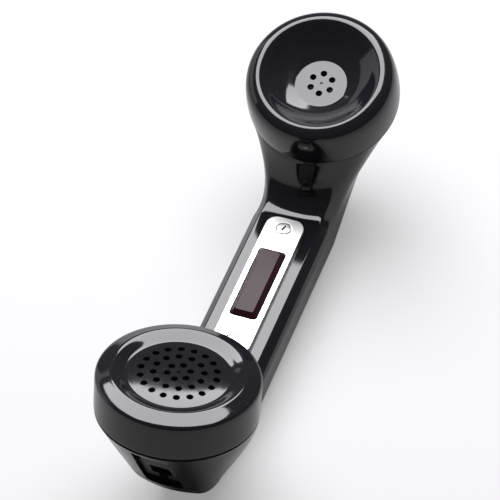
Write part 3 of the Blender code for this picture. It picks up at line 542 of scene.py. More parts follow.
def show(name, bm, finish):
    """Makes a smooth object from the bmesh, with one of the finishes."""
    bmesh.ops.remove_doubles(bm, verts=bm.verts, dist=WELD)
    face_outwards(bm)
    mesh = bpy.data.meshes.new(name)
    bm.to_mesh(mesh)
    bm.free()
    mesh.materials.append(FINISH[finish])
    mesh.shade_smooth()
    mesh.set_sharp_from_angle(angle=CRISP)
    piece = bpy.data.objects.new(name, mesh)
    SCENE.link(piece)
    return piece


def carve(piece, bm, operation="DIFFERENCE", finish=None):
    """Cuts the shape in bm out of the piece, or joins it on, and keeps the result.
    The new faces may have a finish of their own."""
    face_outwards(bm)
    mesh = bpy.data.meshes.new("tool")
    bm.to_mesh(mesh)
    bm.free()
    tool = bpy.data.objects.new("tool", mesh)
    SCENE.link(tool)
    boolean = piece.modifiers.new("carve", "BOOLEAN")
    boolean.operation = operation
    if finish:
        mesh.materials.append(FINISH[finish])
        boolean.material_mode = "TRANSFER"
    boolean.object = tool
    graph = bpy.context.evaluated_depsgraph_get()
    cut_mesh = bpy.data.meshes.new_from_object(piece.evaluated_get(graph))
    piece.modifiers.clear()
    piece.data = cut_mesh
    bpy.data.objects.remove(tool)
    cut_mesh.shade_smooth()
    cut_mesh.set_sharp_from_angle(angle=CRISP)


def round_edges(piece, width, segments=2):
    """Rounds the crisp edges by a live Bevel modifier, its width in millimetres."""
    bevel = piece.modifiers.new("round_edges", "BEVEL")
    bevel.width = width * MM
    bevel.segments = segments
    bevel.limit_method = "ANGLE"
    bevel.angle_limit = CRISP
    bevel.harden_normals = True


def settle(piece, node):
    """Hands the finished piece to the frame, in place of the plain part."""
    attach(piece, BODY_OF[node])
    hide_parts(node)
    print(piece.name, "has", len(piece.data.polygons), "faces")


def make(name, node, bm, finish, cuts=(), width=0.1, segments=2):
    """A whole piece in one call: shown, cut by each tool, rounded and handed over."""
    piece = show(name, bm, finish)
    for tool in cuts:
        carve(piece, tool)
    round_edges(piece, width, segments)
    settle(piece, node)


print("edges stay crisp above", round(math.degrees(CRISP)), "degrees")

# %% [markdown]
# ## Turned shapes
#
# A cap, a washer or a capsule case is a profile spun about an axis. The profile is a short
# list of corners. Corner cutting rounds it: each pass puts two new points on each edge, a
# quarter of the way from its ends, and the corners melt into curves. Where a crease should
# stay, two corners stand close together.

# %% Helpers for turned shapes
# Steps of a full turn, for the large pieces that show and for the others.
FINE = 160
MEDIUM = 96


def melt(corners, passes=2):
    """Cuts the corners off an open line of points, and keeps its ends."""
    for _ in range(passes):
        line = [corners[0]]
        for a, b in zip(corners, corners[1:]):
            line.append(tuple(p * 0.75 + q * 0.25 for p, q in zip(a, b)))
            line.append(tuple(p * 0.25 + q * 0.75 for p, q in zip(a, b)))
        corners = [*line, corners[-1]]
    return corners


def turned(profile, place=LEVEL, steps=MEDIUM, ring=False):
    """Spins a profile of (radius, height) in millimetres about Z, then puts it in place."""
    bm = bmesh.new()
    points = [bm.verts.new((radius * MM, 0, height * MM)) for radius, height in profile]
    edges = [bm.edges.new(pair) for pair in zip(points, points[1:])]
    if ring:
        edges.append(bm.edges.new((points[-1], points[0])))
    bmesh.ops.spin(bm, geom=points + edges, cent=(0, 0, 0), axis=(0, 0, 1),
                   angle=math.tau, steps=steps, use_merge=True)
    bmesh.ops.remove_doubles(bm, verts=bm.verts, dist=WELD)
    bm.transform(place)
    return bm


def rods(centres, radius, low, high, place=LEVEL, steps=24):
    """Upright cylinders about these (x, y) centres, all in millimetres, as one tool."""
    bm = bmesh.new()
    for x, y in centres:
        middle = Matrix.Translation(Vector((x, y, (low + high) / 2)) * MM)
        bmesh.ops.create_cone(bm, cap_ends=True, segments=steps, radius1=radius * MM,
                              radius2=radius * MM, depth=(high - low) * MM,
                              matrix=place @ middle)
    return bm


def around(count, radius, phase=0.0):
    """Evenly spaced (x, y) places on a circle, the first at phase degrees."""
    angles = [math.radians(phase) + math.tau * index / count for index in range(count)]
    return [(radius * math.cos(a), radius * math.sin(a)) for a in angles]


def shifted(place, x, y, z):
    """The place moved along its own axes, in millimetres."""
    return place @ Matrix.Translation(Vector((x, y, z)) * MM)


print("four corners melt to", len(melt([(0, 0), (1, 0), (1, 1), (0, 1)])), "points")

# %% [markdown]
# ## The mouthpiece cap
#
# The mouthpiece cap is a compression moulding: a plain skirt, a rounded lip, and a low dome
# with three rings of sound holes round a dimple. It could be a cylinder with a dome on top,
# but the lip is what catches the light, so the whole wall is one turned profile, and the
# holes are cut afterwards so that they go straight through along the cap's axis.

# %% Mouthpiece cap
CAP_BORE = 27.55
MOUTH_UNDER = [(0, 13.9), (14.0, 13.4), (18.6, 12.7), (24.2, 13.4), (24.9, 11.6),
               (CAP_BORE, 11.6), (CAP_BORE, 0.3)]
MOUTH_OUTSIDE = [(29.5, 0.3), (29.9, 0.5), (30.0, 1.2), (30.0, 6.0), (30.0, 12.6), (29.9, 13.9),
                 (29.5, 14.7), (28.7, 15.15), (27.0, 15.85), (25.3, 16.55), (24.4, 16.95),
                 (23.6, 16.9), (22.0, 16.2), (20.4, 15.4), (19.4, 14.95), (18.6, 14.85),
                 (18.3, 14.95), (14.0, 15.6), (6.0, 16.0), (0, 16.0)]
MOUTH_HOLES = around(6, 4.2, -2) + around(12, 9.1, -10) + around(18, 13.8, -3)
SOUND_HOLE = 1.3
DIMPLE = 0.6
CAP_EDGE = 0.12

sound_holes = rods(MOUTH_HOLES, SOUND_HOLE, 10, 19, MOUTH)
dimple = rods([(0, 0)], DIMPLE, 15.4, 19, MOUTH)
make("mouthpiece_cap", "transmitter_cap", turned(MOUTH_UNDER + melt(MOUTH_OUTSIDE), MOUTH, FINE),
     "black_plastic", [sound_holes, dimple], CAP_EDGE)

# %% [markdown]
# ## The earpiece cap
#
# The earpiece cap dips to a small flat floor with six holes, so that the ear seals against
# the lip. The crease round the floor is crisp, so the profile has two close corners there.

# %% Earpiece cap
EAR_UNDER = [(0, 7.7), (10.0, 7.8), (14.4, 9.2), (19.0, 12.2), (22.6, 15.6), (24.9, 15.0),
             (24.9, 7.3), (CAP_BORE, 7.3), (CAP_BORE, 0.3)]
EAR_OUTSIDE = [(29.5, 0.3), (29.9, 0.5), (30.0, 1.2), (30.0, 5.6), (29.6, 11.0), (28.9, 14.6),
               (27.9, 16.5), (26.3, 17.8), (24.7, 18.5), (23.7, 18.55), (22.9, 18.1),
               (21.4, 16.9), (18.8, 14.6), (15.2, 12.2), (11.0, 10.4), (10.1, 10.0),
               (9.8, 9.92), (8.8, 9.88), (0, 9.8)]

sound_holes = rods(around(6, 4.4, 5), SOUND_HOLE, 6, 14, EAR)
dimple = rods([(0, 0)], DIMPLE, 9.2, 14, EAR)
make("earpiece_cap", "receiver_cap", turned(EAR_UNDER + melt(EAR_OUTSIDE), EAR, FINE),
     "black_plastic", [sound_holes, dimple], CAP_EDGE)

# %% [markdown]
# ## The shell as one swept ring
#
# Cup, handle and cup are one moulding. It could be built from two bowls and a bar joined by
# Booleans, but then the smooth necks would have to be faked with bevels. Instead one ring of
# edges is extruded through a row of sections: round at the seams, flat-faced in the handle,
# and a blend of both in the elbows. The same sweep returns through the inside at a wall's
# thickness, and the last ring is welded to the first, so the wall is closed.

# %% Handle section
HANDLE_DEPTH = 24.5
HALF_WIDTH = 16.0
# Front edge, side, side and back edge: half width, depth, rounding, and how many steps.
HANDLE_CORNERS = ((12.4, 0.0, 0.9, 1), (16.0, 4.6, 5.0, 2), (16.0, 15.5, 8.0, 2),
                  (12.6, 24.5, 5.0, 2))
FLAT_STEPS = 3
REFINE = 4


def rounded_corner(before, corner, after, radius, steps):
    """Points of the arc that rounds a corner."""
    to_before = (before - corner).normalized()
    to_after = (after - corner).normalized()
    half = to_before.angle(to_after) / 2
    centre = corner + (to_before + to_after).normalized() * (radius / math.sin(half))
    start = corner + to_before * (radius / math.tan(half)) - centre
    end = corner + to_after * (radius / math.tan(half)) - centre
    sweep = start.angle(end)
    shares = [step / steps for step in range(steps + 1)]
    return [centre + (start * math.sin((1 - s) * sweep) + end * math.sin(s * sweep))
            / math.sin(sweep) for s in shares]


def handle_half():
    """Half of the handle's outline from front middle to back middle, as (across, depth)."""
    corners = [Vector(corner[:2]) for corner in HANDLE_CORNERS]
    ends = [Vector((0, 0)), *corners, Vector((0, HANDLE_DEPTH))]
    outline = [ends[0]]
    for index, (_, _, radius, steps) in enumerate(HANDLE_CORNERS):
        arc = rounded_corner(*ends[index:index + 3], radius, steps * REFINE)
        straight = (FLAT_STEPS if index == 0 else 1) * REFINE
        outline += [outline[-1].lerp(arc[0], step / straight) for step in range(1, straight)]
        outline += arc
    straight = FLAT_STEPS * REFINE
    outline += [outline[-1].lerp(ends[-1], step / straight) for step in range(1, straight + 1)]
    return outline


HALF_SECTION = handle_half()


def section(share):
    """The outline from round (0) to handle (1), its width and depth each scaled to one."""
    half = []
    for index, point in enumerate(HALF_SECTION):
        angle = math.pi * index / (len(HALF_SECTION) - 1)
        circle = Vector((math.sin(angle), (1 - math.cos(angle)) / 2))
        half.append(circle.lerp(Vector((point.x / HALF_WIDTH, point.y / HANDLE_DEPTH)), share))
    return half + [Vector((-p.x, p.y)) for p in half[-2:0:-1]]


print("points round the shell:", len(section(0)))

# %% [markdown]
# ## Elbows
#
# Each elbow has three lines in side view: the inner line beside the hand, the end wall, and
# the back. Bezier curves are a good fit for them, because a few control points give a smooth
# line that ends flat along the handle. Between the inner and the outer line the section is
# stretched to fit, and a fourth curve gives its half width.

# %% Elbows of the shell
CUP_RADIUS = 29.8
NECK_RADIUS = 26.6
NECK_BORE = 24.4
WALL = 2.6
SOCKET_WALL = 4.8
ELBOW_STEPS = 40


def bezier(points, t):
    while len(points) > 1:
        points = [a * (1 - t) + b * t for a, b in zip(points, points[1:])]
    return points[0]


def ease(t):
    t = min(max(t, 0.0), 1.0)
    return t * t * (3 - 2 * t)


class Elbow:
    """One cup of the shell and its bend into the handle, in millimetres."""

    def __init__(self, place, cap_height, inner, wall, back, widths, end_wall):
        self.seam = place.translation / MM
        self.axis = place.col[2].to_3d()
        self.across = place.col[0].to_3d() * math.copysign(1, self.axis.x)
        edge = self.seam + self.axis * cap_height
        start = Vector((edge.x, 0, HANDLE_DEPTH))
        inner, wall, back = ([start + Vector((a, 0, b)) for a, b in line]
                             for line in (inner, wall, back))
        self.inner = [self.seam + self.across * CUP_RADIUS, *inner]
        self.wall = [self.seam - self.across * CUP_RADIUS, *wall]
        self.back = [self.wall[-1], *back]
        self.widths = widths
        self.end_wall = end_wall

    def ring(self, t, inside=False):
        """One section at t, 0 at the seam and 1 at the handle."""
        near = bezier(self.inner, t)
        far = bezier(self.wall, t * 2) if t < 0.5 else bezier(self.back, t * 2 - 1)
        half_width = bezier(self.widths, t)
        depth = (far - near).normalized()
        if inside:
            seam_wall = CUP_RADIUS - NECK_BORE
            thick = seam_wall + (WALL - seam_wall) * ease(t / 0.3)
            end_thick = seam_wall + (self.end_wall - seam_wall) * ease(t / 0.2)
            end_thick += (WALL - self.end_wall) * ease(t * 2 - 0.9)
            near = near + depth * thick
            far = far - depth * end_thick
            half_width -= thick
        length = (far - near).length
        return [near + depth * (p.y * length) + Vector((0, p.x * half_width, 0))
                for p in section(ease(t))]

    def circle(self, radius, height):
        """A ring about the cup's axis, at a height above the seam."""
        centre = self.seam + self.axis * height
        return [centre + self.across * ((1 - 2 * p.y) * radius) + Vector((0, p.x * radius, 0))
                for p in section(0)]

    def neck(self, height):
        """The rings from the bore, over the neck and its step, down to the seam."""
        corners = [(NECK_BORE, -0.5), (NECK_BORE, height - 0.4), (NECK_BORE + 0.4, height),
                   (NECK_RADIUS - 0.4, height), (NECK_RADIUS, height - 0.4), (NECK_RADIUS, 0.3),
                   (NECK_RADIUS + 0.3, 0.0), (CUP_RADIUS - 0.5, 0.0), (CUP_RADIUS - 0.2, -0.1),
                   (CUP_RADIUS, -0.5)]
        return [self.circle(radius, rise) for radius, rise in corners]


mouth_elbow = Elbow(MOUTH, 14.4, ((27.3, 8.0), (29.4, 0.0), (36.0, 0.0)),
                    ((-29.0, 23.5), (-23.0, 10.5), (-18.4, -1.0)),
                    ((-14.2, -10.5), (-1.0, -24.5), (26.0, -24.5)),
                    (29.8, 28.0, 12.5, 16.0), SOCKET_WALL)
ear_elbow = Elbow(EAR, 15.6, ((-25.2, 7.5), (-29.6, 0.0), (-37.0, 0.0)),
                  ((30.0, 27.0), (27.2, 14.0), (21.2, 3.0)),
                  ((14.0, -10.2), (2.0, -24.5), (-26.0, -24.5)),
                  (29.8, 21.5, 13.0, 16.0), WALL)
print("handle runs from", [round(v, 1) for v in mouth_elbow.ring(1)[0]],
      "to", [round(v, 1) for v in ear_elbow.ring(1)[0]])

# %% [markdown]
# ## Sweeping the wall
#
# The first ring is drawn as edges. Each further ring is an extrusion of the last one's
# edges, and its new vertices are then moved onto the next section.

# %% Sweep
NECK_HEIGHTS = {"mouth": 8.7, "ear": 4.4}


def sweep(rings):
    """Extrudes the first ring of points, in millimetres, through all the others."""
    bm = bmesh.new()
    verts = [bm.verts.new(point * MM) for point in rings[0]]
    for pair in zip(verts, verts[1:] + verts[:1]):
        bm.edges.new(pair)
    for ring in rings[1:]:
        edges = [bm.edges.get(pair) for pair in zip(verts, verts[1:] + verts[:1])]
        made = set(bmesh.ops.extrude_edge_only(bm, edges=edges)["geom"])
        verts = [next(edge.other_vert(v) for edge in v.link_edges if edge.other_vert(v) in made)
                 for v in verts]
        for vert, point in zip(verts, ring):
            vert.co = point * MM
    return bm


def shell_rings():
    stations = [step / ELBOW_STEPS for step in range(1, ELBOW_STEPS + 1)]
    rings = mouth_elbow.neck(NECK_HEIGHTS["mouth"])
    rings += [mouth_elbow.ring(t) for t in stations]
    rings += [ear_elbow.ring(t) for t in stations[::-1]]
    rings += ear_elbow.neck(NECK_HEIGHTS["ear"])[::-1]
    rings += [ear_elbow.ring(t, inside=True) for t in stations]
    rings += [mouth_elbow.ring(t, inside=True) for t in stations[::-1]]
    return rings + rings[:1]


shell = show("moulded_shell", sweep(shell_rings()), "black_plastic")
print("shell faces:", len(shell.data.polygons))

# %% [markdown]
# ## Openings in the shell
#
# The flat face has a window for the bar and two screw holes. In the end wall of the mouth
# cup a shallow channel leads down from the seam to a hole that takes the cord socket. All
# are Booleans with tools that reach well past the wall on both sides.

# %% Window, screw holes and socket opening
SWITCH_X = mouth_elbow.inner[-1].x + 45.6
SCREW_OFFSET = 29.9
SOCKET_WIDTH = 14.0
SOCKET_TOP = 19.0
SOCKET_LIP = 7.8
SOCKET_FOOT = -13.2
SOCKET_CHANNEL = 2.2
REACH = 6.0
CLEAR = 0.3
SCREW_HOLE = 1.4
SHELL_WINDOW = (39.0, 13.0, 2.0)


def rounded_slab(length, width, corner, low, high, place=LEVEL, steps=8):
    """A slab with its four upright corners rounded, centred on Z."""
    bm = bmesh.new()
    size = Matrix.Diagonal((length * MM, width * MM, (high - low) * MM, 1.0))
    middle = Matrix.Translation((0, 0, (low + high) / 2 * MM))
    bmesh.ops.create_cube(bm, size=1.0, matrix=middle @ size)
    if corner:
        upright = [e for e in bm.edges if abs((e.verts[0].co - e.verts[1].co).xy.length) < WELD]
        bmesh.ops.bevel(bm, geom=upright, offset=corner * MM, affect="EDGES", segments=steps,
                        profile=0.5, material=-1)
    bm.transform(place)
    return bm


def socket_place():
    """The middle of the end wall, with Z out of the wall and X up it."""
    top, foot = mouth_elbow.wall[0], mouth_elbow.wall[-1]
    down = (foot - top).normalized()
    turn_about_y = Matrix.Rotation(math.atan2(down.z, -down.x), 4, "Y")
    return Matrix.Translation((top + down * 22.0) * MM) @ turn_about_y


SOCKET = socket_place()
SWITCH = Matrix.Translation(Vector((SWITCH_X, 0, HANDLE_DEPTH)) * MM)
SCREW_PLACES = [(-SCREW_OFFSET, 0), (SCREW_OFFSET, 0)]

carve(shell, rounded_slab(*SHELL_WINDOW, -WALL - 1, 1, SWITCH))
carve(shell, rods(SCREW_PLACES, SCREW_HOLE, -WALL - 1, 1, SWITCH))
channel = SOCKET_TOP - SOCKET_LIP
middle = shifted(SOCKET, SOCKET_LIP + (channel - 1) / 2, 0, 0)
carve(shell, rounded_slab(channel + 1, SOCKET_WIDTH, 0, -SOCKET_CHANNEL, REACH, middle))
middle = shifted(SOCKET, (SOCKET_LIP + SOCKET_FOOT) / 2, 0, 0)
carve(shell, rounded_slab(SOCKET_LIP - SOCKET_FOOT + 2 * CLEAR, SOCKET_WIDTH + 2 * CLEAR, 1.0,
                          -3 * REACH, REACH, middle))
round_edges(shell, 0.2)
settle(shell, "handset_shell")

# %% [markdown]
# ## Screw threads
#
# Both caps screw onto the necks with a thread of two millimetres' pitch, which shows when a
# cap is undone. A thread is a small triangle spun about the axis while it climbs: the spin
# operator does this when its dvec is the climb of one step. The ridge melts into the wall
# at both ends, as a moulded thread does.

# %% Threads on the necks and in the caps
PITCH = 2.0
THREAD_STEPS = 72
# Root and crest radius of each pair of threads.
NECK_THREAD = (26.5, 27.0)
CAP_THREAD = (27.65, 27.2)
CAP_PHASE = 70


def thread(root, crest, low, high, place, phase=0.0, pitch=PITCH, turn_steps=THREAD_STEPS):
    """A ridge from radius root to crest that climbs from low to high."""
    bm = bmesh.new()
    foot, top = pitch * 0.31, pitch * 0.07
    corners = [(root, -foot), (crest, -top), (crest, top), (root, foot)]
    points = [bm.verts.new((r * MM, 0, (low + h) * MM)) for r, h in corners]
    edges = [bm.edges.new(pair) for pair in zip(points, points[1:] + points[:1])]
    turns = (high - low) / pitch
    steps = round(turns * turn_steps)
    climb = (high - low) / steps * MM
    bmesh.ops.spin(bm, geom=points + edges, cent=(0, 0, 0), axis=(0, 0, 1),
                   angle=turns * math.tau, steps=steps, dvec=(0, 0, climb))
    fade = pitch / 6
    for vert in bm.verts:
        turned_by = math.atan2(vert.co.y, vert.co.x)
        near_turn = round((vert.co.z / MM - low) / pitch - turned_by / math.tau)
        rise = (near_turn + turned_by / math.tau) * pitch
        share = ease(min(rise, high - low - rise) / fade)
        radius = vert.co.xy.length
        kept = root * MM + (radius - root * MM) * share
        vert.co.x *= kept / radius
        vert.co.y *= kept / radius
    bmesh.ops.holes_fill(bm, edges=bm.edges, sides=4)
    bm.transform(place @ Matrix.Rotation(math.radians(phase), 4, "Z"))
    return bm


def add_thread(name, body, bm):
    """A thread is part of its moulding, so it rides on the same body and replaces nothing."""
    piece = show(name, bm, "black_plastic")
    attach(piece, body)
    print(name, "has", len(piece.data.polygons), "faces")


add_thread("mouth_neck_thread", "handset", thread(*NECK_THREAD, 2.0, 7.4, MOUTH))
add_thread("ear_neck_thread", "handset", thread(*NECK_THREAD, 1.3, 3.4, EAR))
add_thread("mouth_cap_thread", "mouth_cap", thread(*CAP_THREAD, 2.6, 8.2, MOUTH, CAP_PHASE))
add_thread("ear_cap_thread", "ear_cap", thread(*CAP_THREAD, 2.0, 5.4, EAR, CAP_PHASE))

# %% [markdown]
# ## Screws
#
# Six cheese-head screws of three sizes hold the plate, the springs and the receiver. Each is
# a turned blank with a fine thread wound on its shank and a slot sawn across its head. The
# thread could be left to a bump, but a screw that is seen from the side shows its outline.
# The faces that the saw makes get a dark finish, a painted shade for the shadow in the slot.

# %% A slotted screw
SLOT_WIDTH = 0.8
METRIC_FINE = 0.45
CORE_SHARE = 0.84
# Head radius, head height, shank radius and shank length.
PLATE_SCREW = (2.75, 1.2, 1.0, 8.0)
CUP_SCREW = (1.9, 0.8, 1.0, 2.9)
TERMINAL_SCREW = (1.9, 0.9, 1.0, 1.9)
# A slot longer than the head is open at both ends.
SHORT_SLOT = 3.0
OPEN_SLOT = 6.0


def wind_on(piece, bm):
    """Adds the thread in bm to the piece's mesh, as a closed body of its own."""
    face_outwards(bm)
    bm.from_mesh(piece.data)
    bm.to_mesh(piece.data)
    bm.free()
    piece.data.shade_smooth()
    piece.data.set_sharp_from_angle(angle=CRISP)


def slotted_screw(node, finish, size, place, slot_turn, slot_length=OPEN_SLOT):
    """Its seat is at the place's origin and its shank goes down. Sizes are in millimetres.
    The slot is sawn before the thread is wound on, as a Boolean wants one closed body."""
    head, height, shank, length = size
    core = shank * CORE_SHARE
    profile = [(0, height), (head * 0.76, height), (head * 0.92, height * 0.88),
               (head, height * 0.62), (head, height * 0.14), (head * 0.95, 0), (core, 0),
               (core, -length + 0.6), (core * 0.4, -length), (0, -length)]
    piece = show(node + "_turned", turned(profile, place, 48), finish)
    across = place @ Matrix.Rotation(math.radians(slot_turn), 4, "Z")
    sawn = rounded_slab(slot_length, SLOT_WIDTH, 0, 0.1, height + 1, across)
    # The saw's faces take the dark finish, painted shade for the slot.
    carve(piece, sawn, finish="painted_shade_alloy")
    wind_on(piece, thread(core * 0.97, shank, -length + 0.7, -0.35, place, 0, METRIC_FINE, 20))
    round_edges(piece, 0.06)
    settle(piece, node)


print("thread pitch of the screws:", METRIC_FINE, "mm")

# %% [markdown]
# ## The switch plate
#
# A bright plate, two millimetres thick, frames the talk bar and hides the window in the
# plastic. It is a stamped blank: a slab with round corners, a window, and two screw holes
# that are counterbored so that the heads sit low. The rims are broken by a small radius,
# which is what draws a thin line of light round the plate.

# %% Switch plate and its screws
# Length, width and corner radius of the plate and of its window.
PLATE = (70.5, 15.2, 4.6)
PLATE_WINDOW = (35.8, 11.2, 1.6)
PLATE_LOW = 0.3
PLATE_TOP = 2.4
COUNTERBORE_RADIUS = 3.1
COUNTERBORE_DEPTH = 1.2
HEAD_SEAT = PLATE_TOP - COUNTERBORE_DEPTH

window = rounded_slab(*PLATE_WINDOW, -1, PLATE_TOP + 1, SWITCH)
holes = rods(SCREW_PLACES, SCREW_HOLE, -1, HEAD_SEAT + COUNTERBORE_DEPTH / 2, SWITCH, 32)
counterbores = rods(SCREW_PLACES, COUNTERBORE_RADIUS, HEAD_SEAT, PLATE_TOP + 1, SWITCH, 64)
make("bright_switch_plate", "switch_plate",
     rounded_slab(*PLATE, PLATE_LOW, PLATE_TOP, SWITCH, 12), "bright_metal",
     [window, holes, counterbores], 0.28, 3)

for node, (x, y), slot_turn in zip(("plate_screw_front", "plate_screw_rear"),
                                   SCREW_PLACES[::-1], (-15, 60)):
    seat = shifted(SWITCH, x, y, HEAD_SEAT + CLEAR)
    slotted_screw(node, "screw_metal", PLATE_SCREW, seat, slot_turn, SHORT_SLOT)

# %% [markdown]
# ## The talk bar
#
# The bar is pressed to talk. A hand feels its flat top and four sloping sides, and a flange
# below keeps it from falling out through the plate. The top starts as a slab whose upper
# face is extruded and scaled to give the slopes. The flange, the post that presses the
# switch and the spigots that hold the springs are joined on.

# %% Talk bar
BAR_LENGTH = 35.0
BAR_WIDTH = 10.5
BAR_RISE = 1.85
BAR_SLOPE = 1.6
SPRING_X = 14.2


def sloping_bar():
    """The slab of the bar with a crown that is narrower by the slope on each side."""
    bm = rounded_slab(BAR_LENGTH, BAR_WIDTH, 1.3, -1, PLATE_TOP)
    lid = max(bm.faces, key=lambda face: face.calc_center_median().z)
    crown = bmesh.ops.extrude_discrete_faces(bm, faces=[lid])["faces"][0].verts[:]
    bmesh.ops.translate(bm, verts=crown, vec=(0, 0, BAR_RISE * MM))
    narrow = (1 - 2 * BAR_SLOPE / BAR_LENGTH, 1 - 2 * BAR_SLOPE / BAR_WIDTH, 1)
    bmesh.ops.scale(bm, verts=crown, vec=narrow)
    bm.transform(SWITCH)
    return bm


bar = show("press_to_talk_bar", sloping_bar(), "bar_plastic")
flange = rounded_slab(BAR_LENGTH + 2.6, BAR_WIDTH + 1.9, 1.8, -1.4, 0, SWITCH)
post = rounded_slab(6, 4, 0.5, -3.2, -0.7, SWITCH)
spigots = rods([(-SPRING_X, 0), (SPRING_X, 0)], 1.2, -3.6, -0.7, SWITCH)
for addition in (flange, post, spigots):
    carve(bar, addition, "UNION")
round_edges(bar, 0.3, 3)
settle(bar, "talk_bar")

# %% [markdown]
# ## Sheet metal
#
# The bracket, the contact springs and the bent contacts are strips of sheet. A strip is
# given by the middle line of its side view. Cutting its corners gives the bends, the line is
# thickened to both sides, and the outline is extruded across. Folding a flat strip by
# rotating its faces would work too, but here every bend lies in one plane.

# %% Bent strips
def extruded(outline, width, place=LEVEL):
    """A side view of (x, z) points, extruded across Y and centred on it."""
    bm = bmesh.new()
    side = bm.faces.new([bm.verts.new((x * MM, -width / 2 * MM, z * MM)) for x, z in outline])
    pushed = bmesh.ops.extrude_face_region(bm, geom=[side])["geom"]
    verts = [item for item in pushed if isinstance(item, bmesh.types.BMVert)]
    bmesh.ops.translate(bm, verts=verts, vec=(0, width * MM, 0))
    bm.transform(place)
    return bm


def strip(line, width, thickness, place=LEVEL):
    """Sheet of this thickness bent along a line of (x, z) points."""
    line = [Vector(point) for point in melt(line, 3)]
    upper, lower = [], []
    for index, point in enumerate(line):
        behind = line[max(index - 1, 0)]
        ahead = (line[min(index + 1, len(line) - 1)] - behind).normalized()
        aside = Vector((-ahead.y, ahead.x)) * (thickness / 2)
        upper.append(point + aside)
        lower.append(point - aside)
    return extruded([tuple(p) for p in upper + lower[::-1]], width, place)


# Heights are measured from the flat face of the handle.
BRACKET_TOP = -WALL - 0.8
BRACKET_FLOOR = -13.1
BRACKET_LINE = [(-34.5, BRACKET_TOP), (-25.5, BRACKET_TOP), (-25.5, BRACKET_FLOOR),
                (25.5, BRACKET_FLOOR), (25.5, BRACKET_TOP), (34.5, BRACKET_TOP)]
BRACKET_WIDTH = 11.0
SHEET = 1.0

holes = rods(SCREW_PLACES, 1.3, -6, -1, SWITCH)
slot = rounded_slab(18, 4, 1.0, BRACKET_FLOOR - 2, BRACKET_FLOOR + 2, SWITCH)
make("bent_switch_bracket", "switch_bracket", strip(BRACKET_LINE, BRACKET_WIDTH, SHEET, SWITCH),
     "plated_steel", [holes, slot], 0.12)

# %% [markdown]
# ## The microswitch
#
# The switch is a bought-in part of standard size: a nylon case with two mounting holes, a
# small button on top and three blades below. Its button follows the bar's post. A shallow
# seam at each end of the case shows where its two halves meet.

# %% Microswitch
BUTTON_TOP = -3.5
BUTTON_LENGTH = 5.2
CASE_LENGTH = 19.8
CASE_TOP = -5.2
CASE_BOTTOM = -12.3
HOLE_OFFSET = 4.75
BLADE_SPACING = 7

crosswise = shifted(SWITCH, 0, 0, CASE_BOTTOM + 2.2) @ Matrix.Rotation(math.pi / 2, 4, "X")
well = rounded_slab(3.6, 2.4, 0.3, CASE_TOP - 6, CASE_TOP + 1, SWITCH)
holes = rods([(-HOLE_OFFSET, 0), (HOLE_OFFSET, 0)], 1.15, -5, 5, crosswise)
seams = [rounded_slab(1.6, 8, 0, CASE_BOTTOM + 4.6, CASE_BOTTOM + 4.9,
                      shifted(SWITCH, side * CASE_LENGTH / 2, 0, 0)) for side in (-1, 1)]
make("nylon_switch_case", "microswitch_case",
     rounded_slab(CASE_LENGTH, 6.4, 0.5, CASE_BOTTOM, CASE_TOP, SWITCH), "inner_black",
     [well, holes, *seams], 0.15)
make("switch_button", "microswitch_plunger",
     rounded_slab(2.8, 1.7, 0.3, BUTTON_TOP - BUTTON_LENGTH, BUTTON_TOP, SWITCH), "bar_plastic",
     width=0.35, segments=4)

for name, side in (("common", -1), ("open", 0), ("closed", 1)):
    below = shifted(SWITCH, side * BLADE_SPACING, 0, CASE_BOTTOM - 2.8)
    upright = below @ Matrix.Rotation(math.pi / 2, 4, "Y")
    make("blade_" + name, "switch_terminal_" + name,
         rounded_slab(5, 2.8, 0.7, -0.25, 0.25, upright), "gold_contact",
         [rods([(1.2, 0)], 0.6, -1, 1, upright)], 0.08)

# %% [markdown]
# ## Wires
#
# Coil springs, leads and the contacts of the cord socket are wires: a small circle that is
# carried along a line of points. At each point the circle turns just enough to stay square
# to the line, so it never twists. The same sweep that made the shell makes the tube, and its
# two ends are filled.

# %% Helpers for wires
def at(place, x, y, z):
    """A point in the frame of the place, in millimetres."""
    return place @ (Vector((x, y, z)) * MM) / MM


def wire(route, radius, sides=12):
    """A round wire along a line of points in millimetres, with closed ends."""
    rings = []
    aside = (route[1] - route[0]).orthogonal().normalized()
    angles = [math.tau * index / sides for index in range(sides)]
    for index, point in enumerate(route):
        behind = route[max(index - 1, 0)]
        ahead = (route[min(index + 1, len(route) - 1)] - behind).normalized()
        aside = (aside - ahead * aside.dot(ahead)).normalized()
        over = ahead.cross(aside)
        rings.append([point + (aside * math.cos(a) + over * math.sin(a)) * radius
                      for a in angles])
    bm = sweep(rings)
    bmesh.ops.holes_fill(bm, edges=bm.edges, sides=0)
    return bm


def smooth_route(points, steps=14):
    """Points of a Catmull-Rom curve through the route."""
    ends = [points[0] * 2 - points[1], *points, points[-1] * 2 - points[-2]]
    route = []
    for a, b, c, d in zip(ends, ends[1:], ends[2:], ends[3:]):
        for step in range(steps):
            t = step / steps
            route.append((b * 2 + (c - a) * t + (a * 2 - b * 5 + c * 4 - d) * t ** 2
                          + (b * 3 - a - c * 3 + d) * t ** 3) / 2)
    return route + [points[-1]]


print("two stretches of a route get", len(smooth_route([Vector((x, 0, 0)) for x in range(3)])),
      "points")

# %% [markdown]
# ## The return springs
#
# Two small compression springs push the bar back. Their wire rises faster in the middle than
# at the ends, because the end turns of such a spring lie nearly closed. When the bar is
# pressed, each spring gets shorter.

# %% Return springs
SPRING_TURNS = 4.5
SPRING_RADIUS = 2.0
SPRING_WIRE = 0.3
SPRING_LOW = -12.0
SPRING_HIGH = -2.0
END_CLOSURE = 0.6
SPRING_POINTS = 160


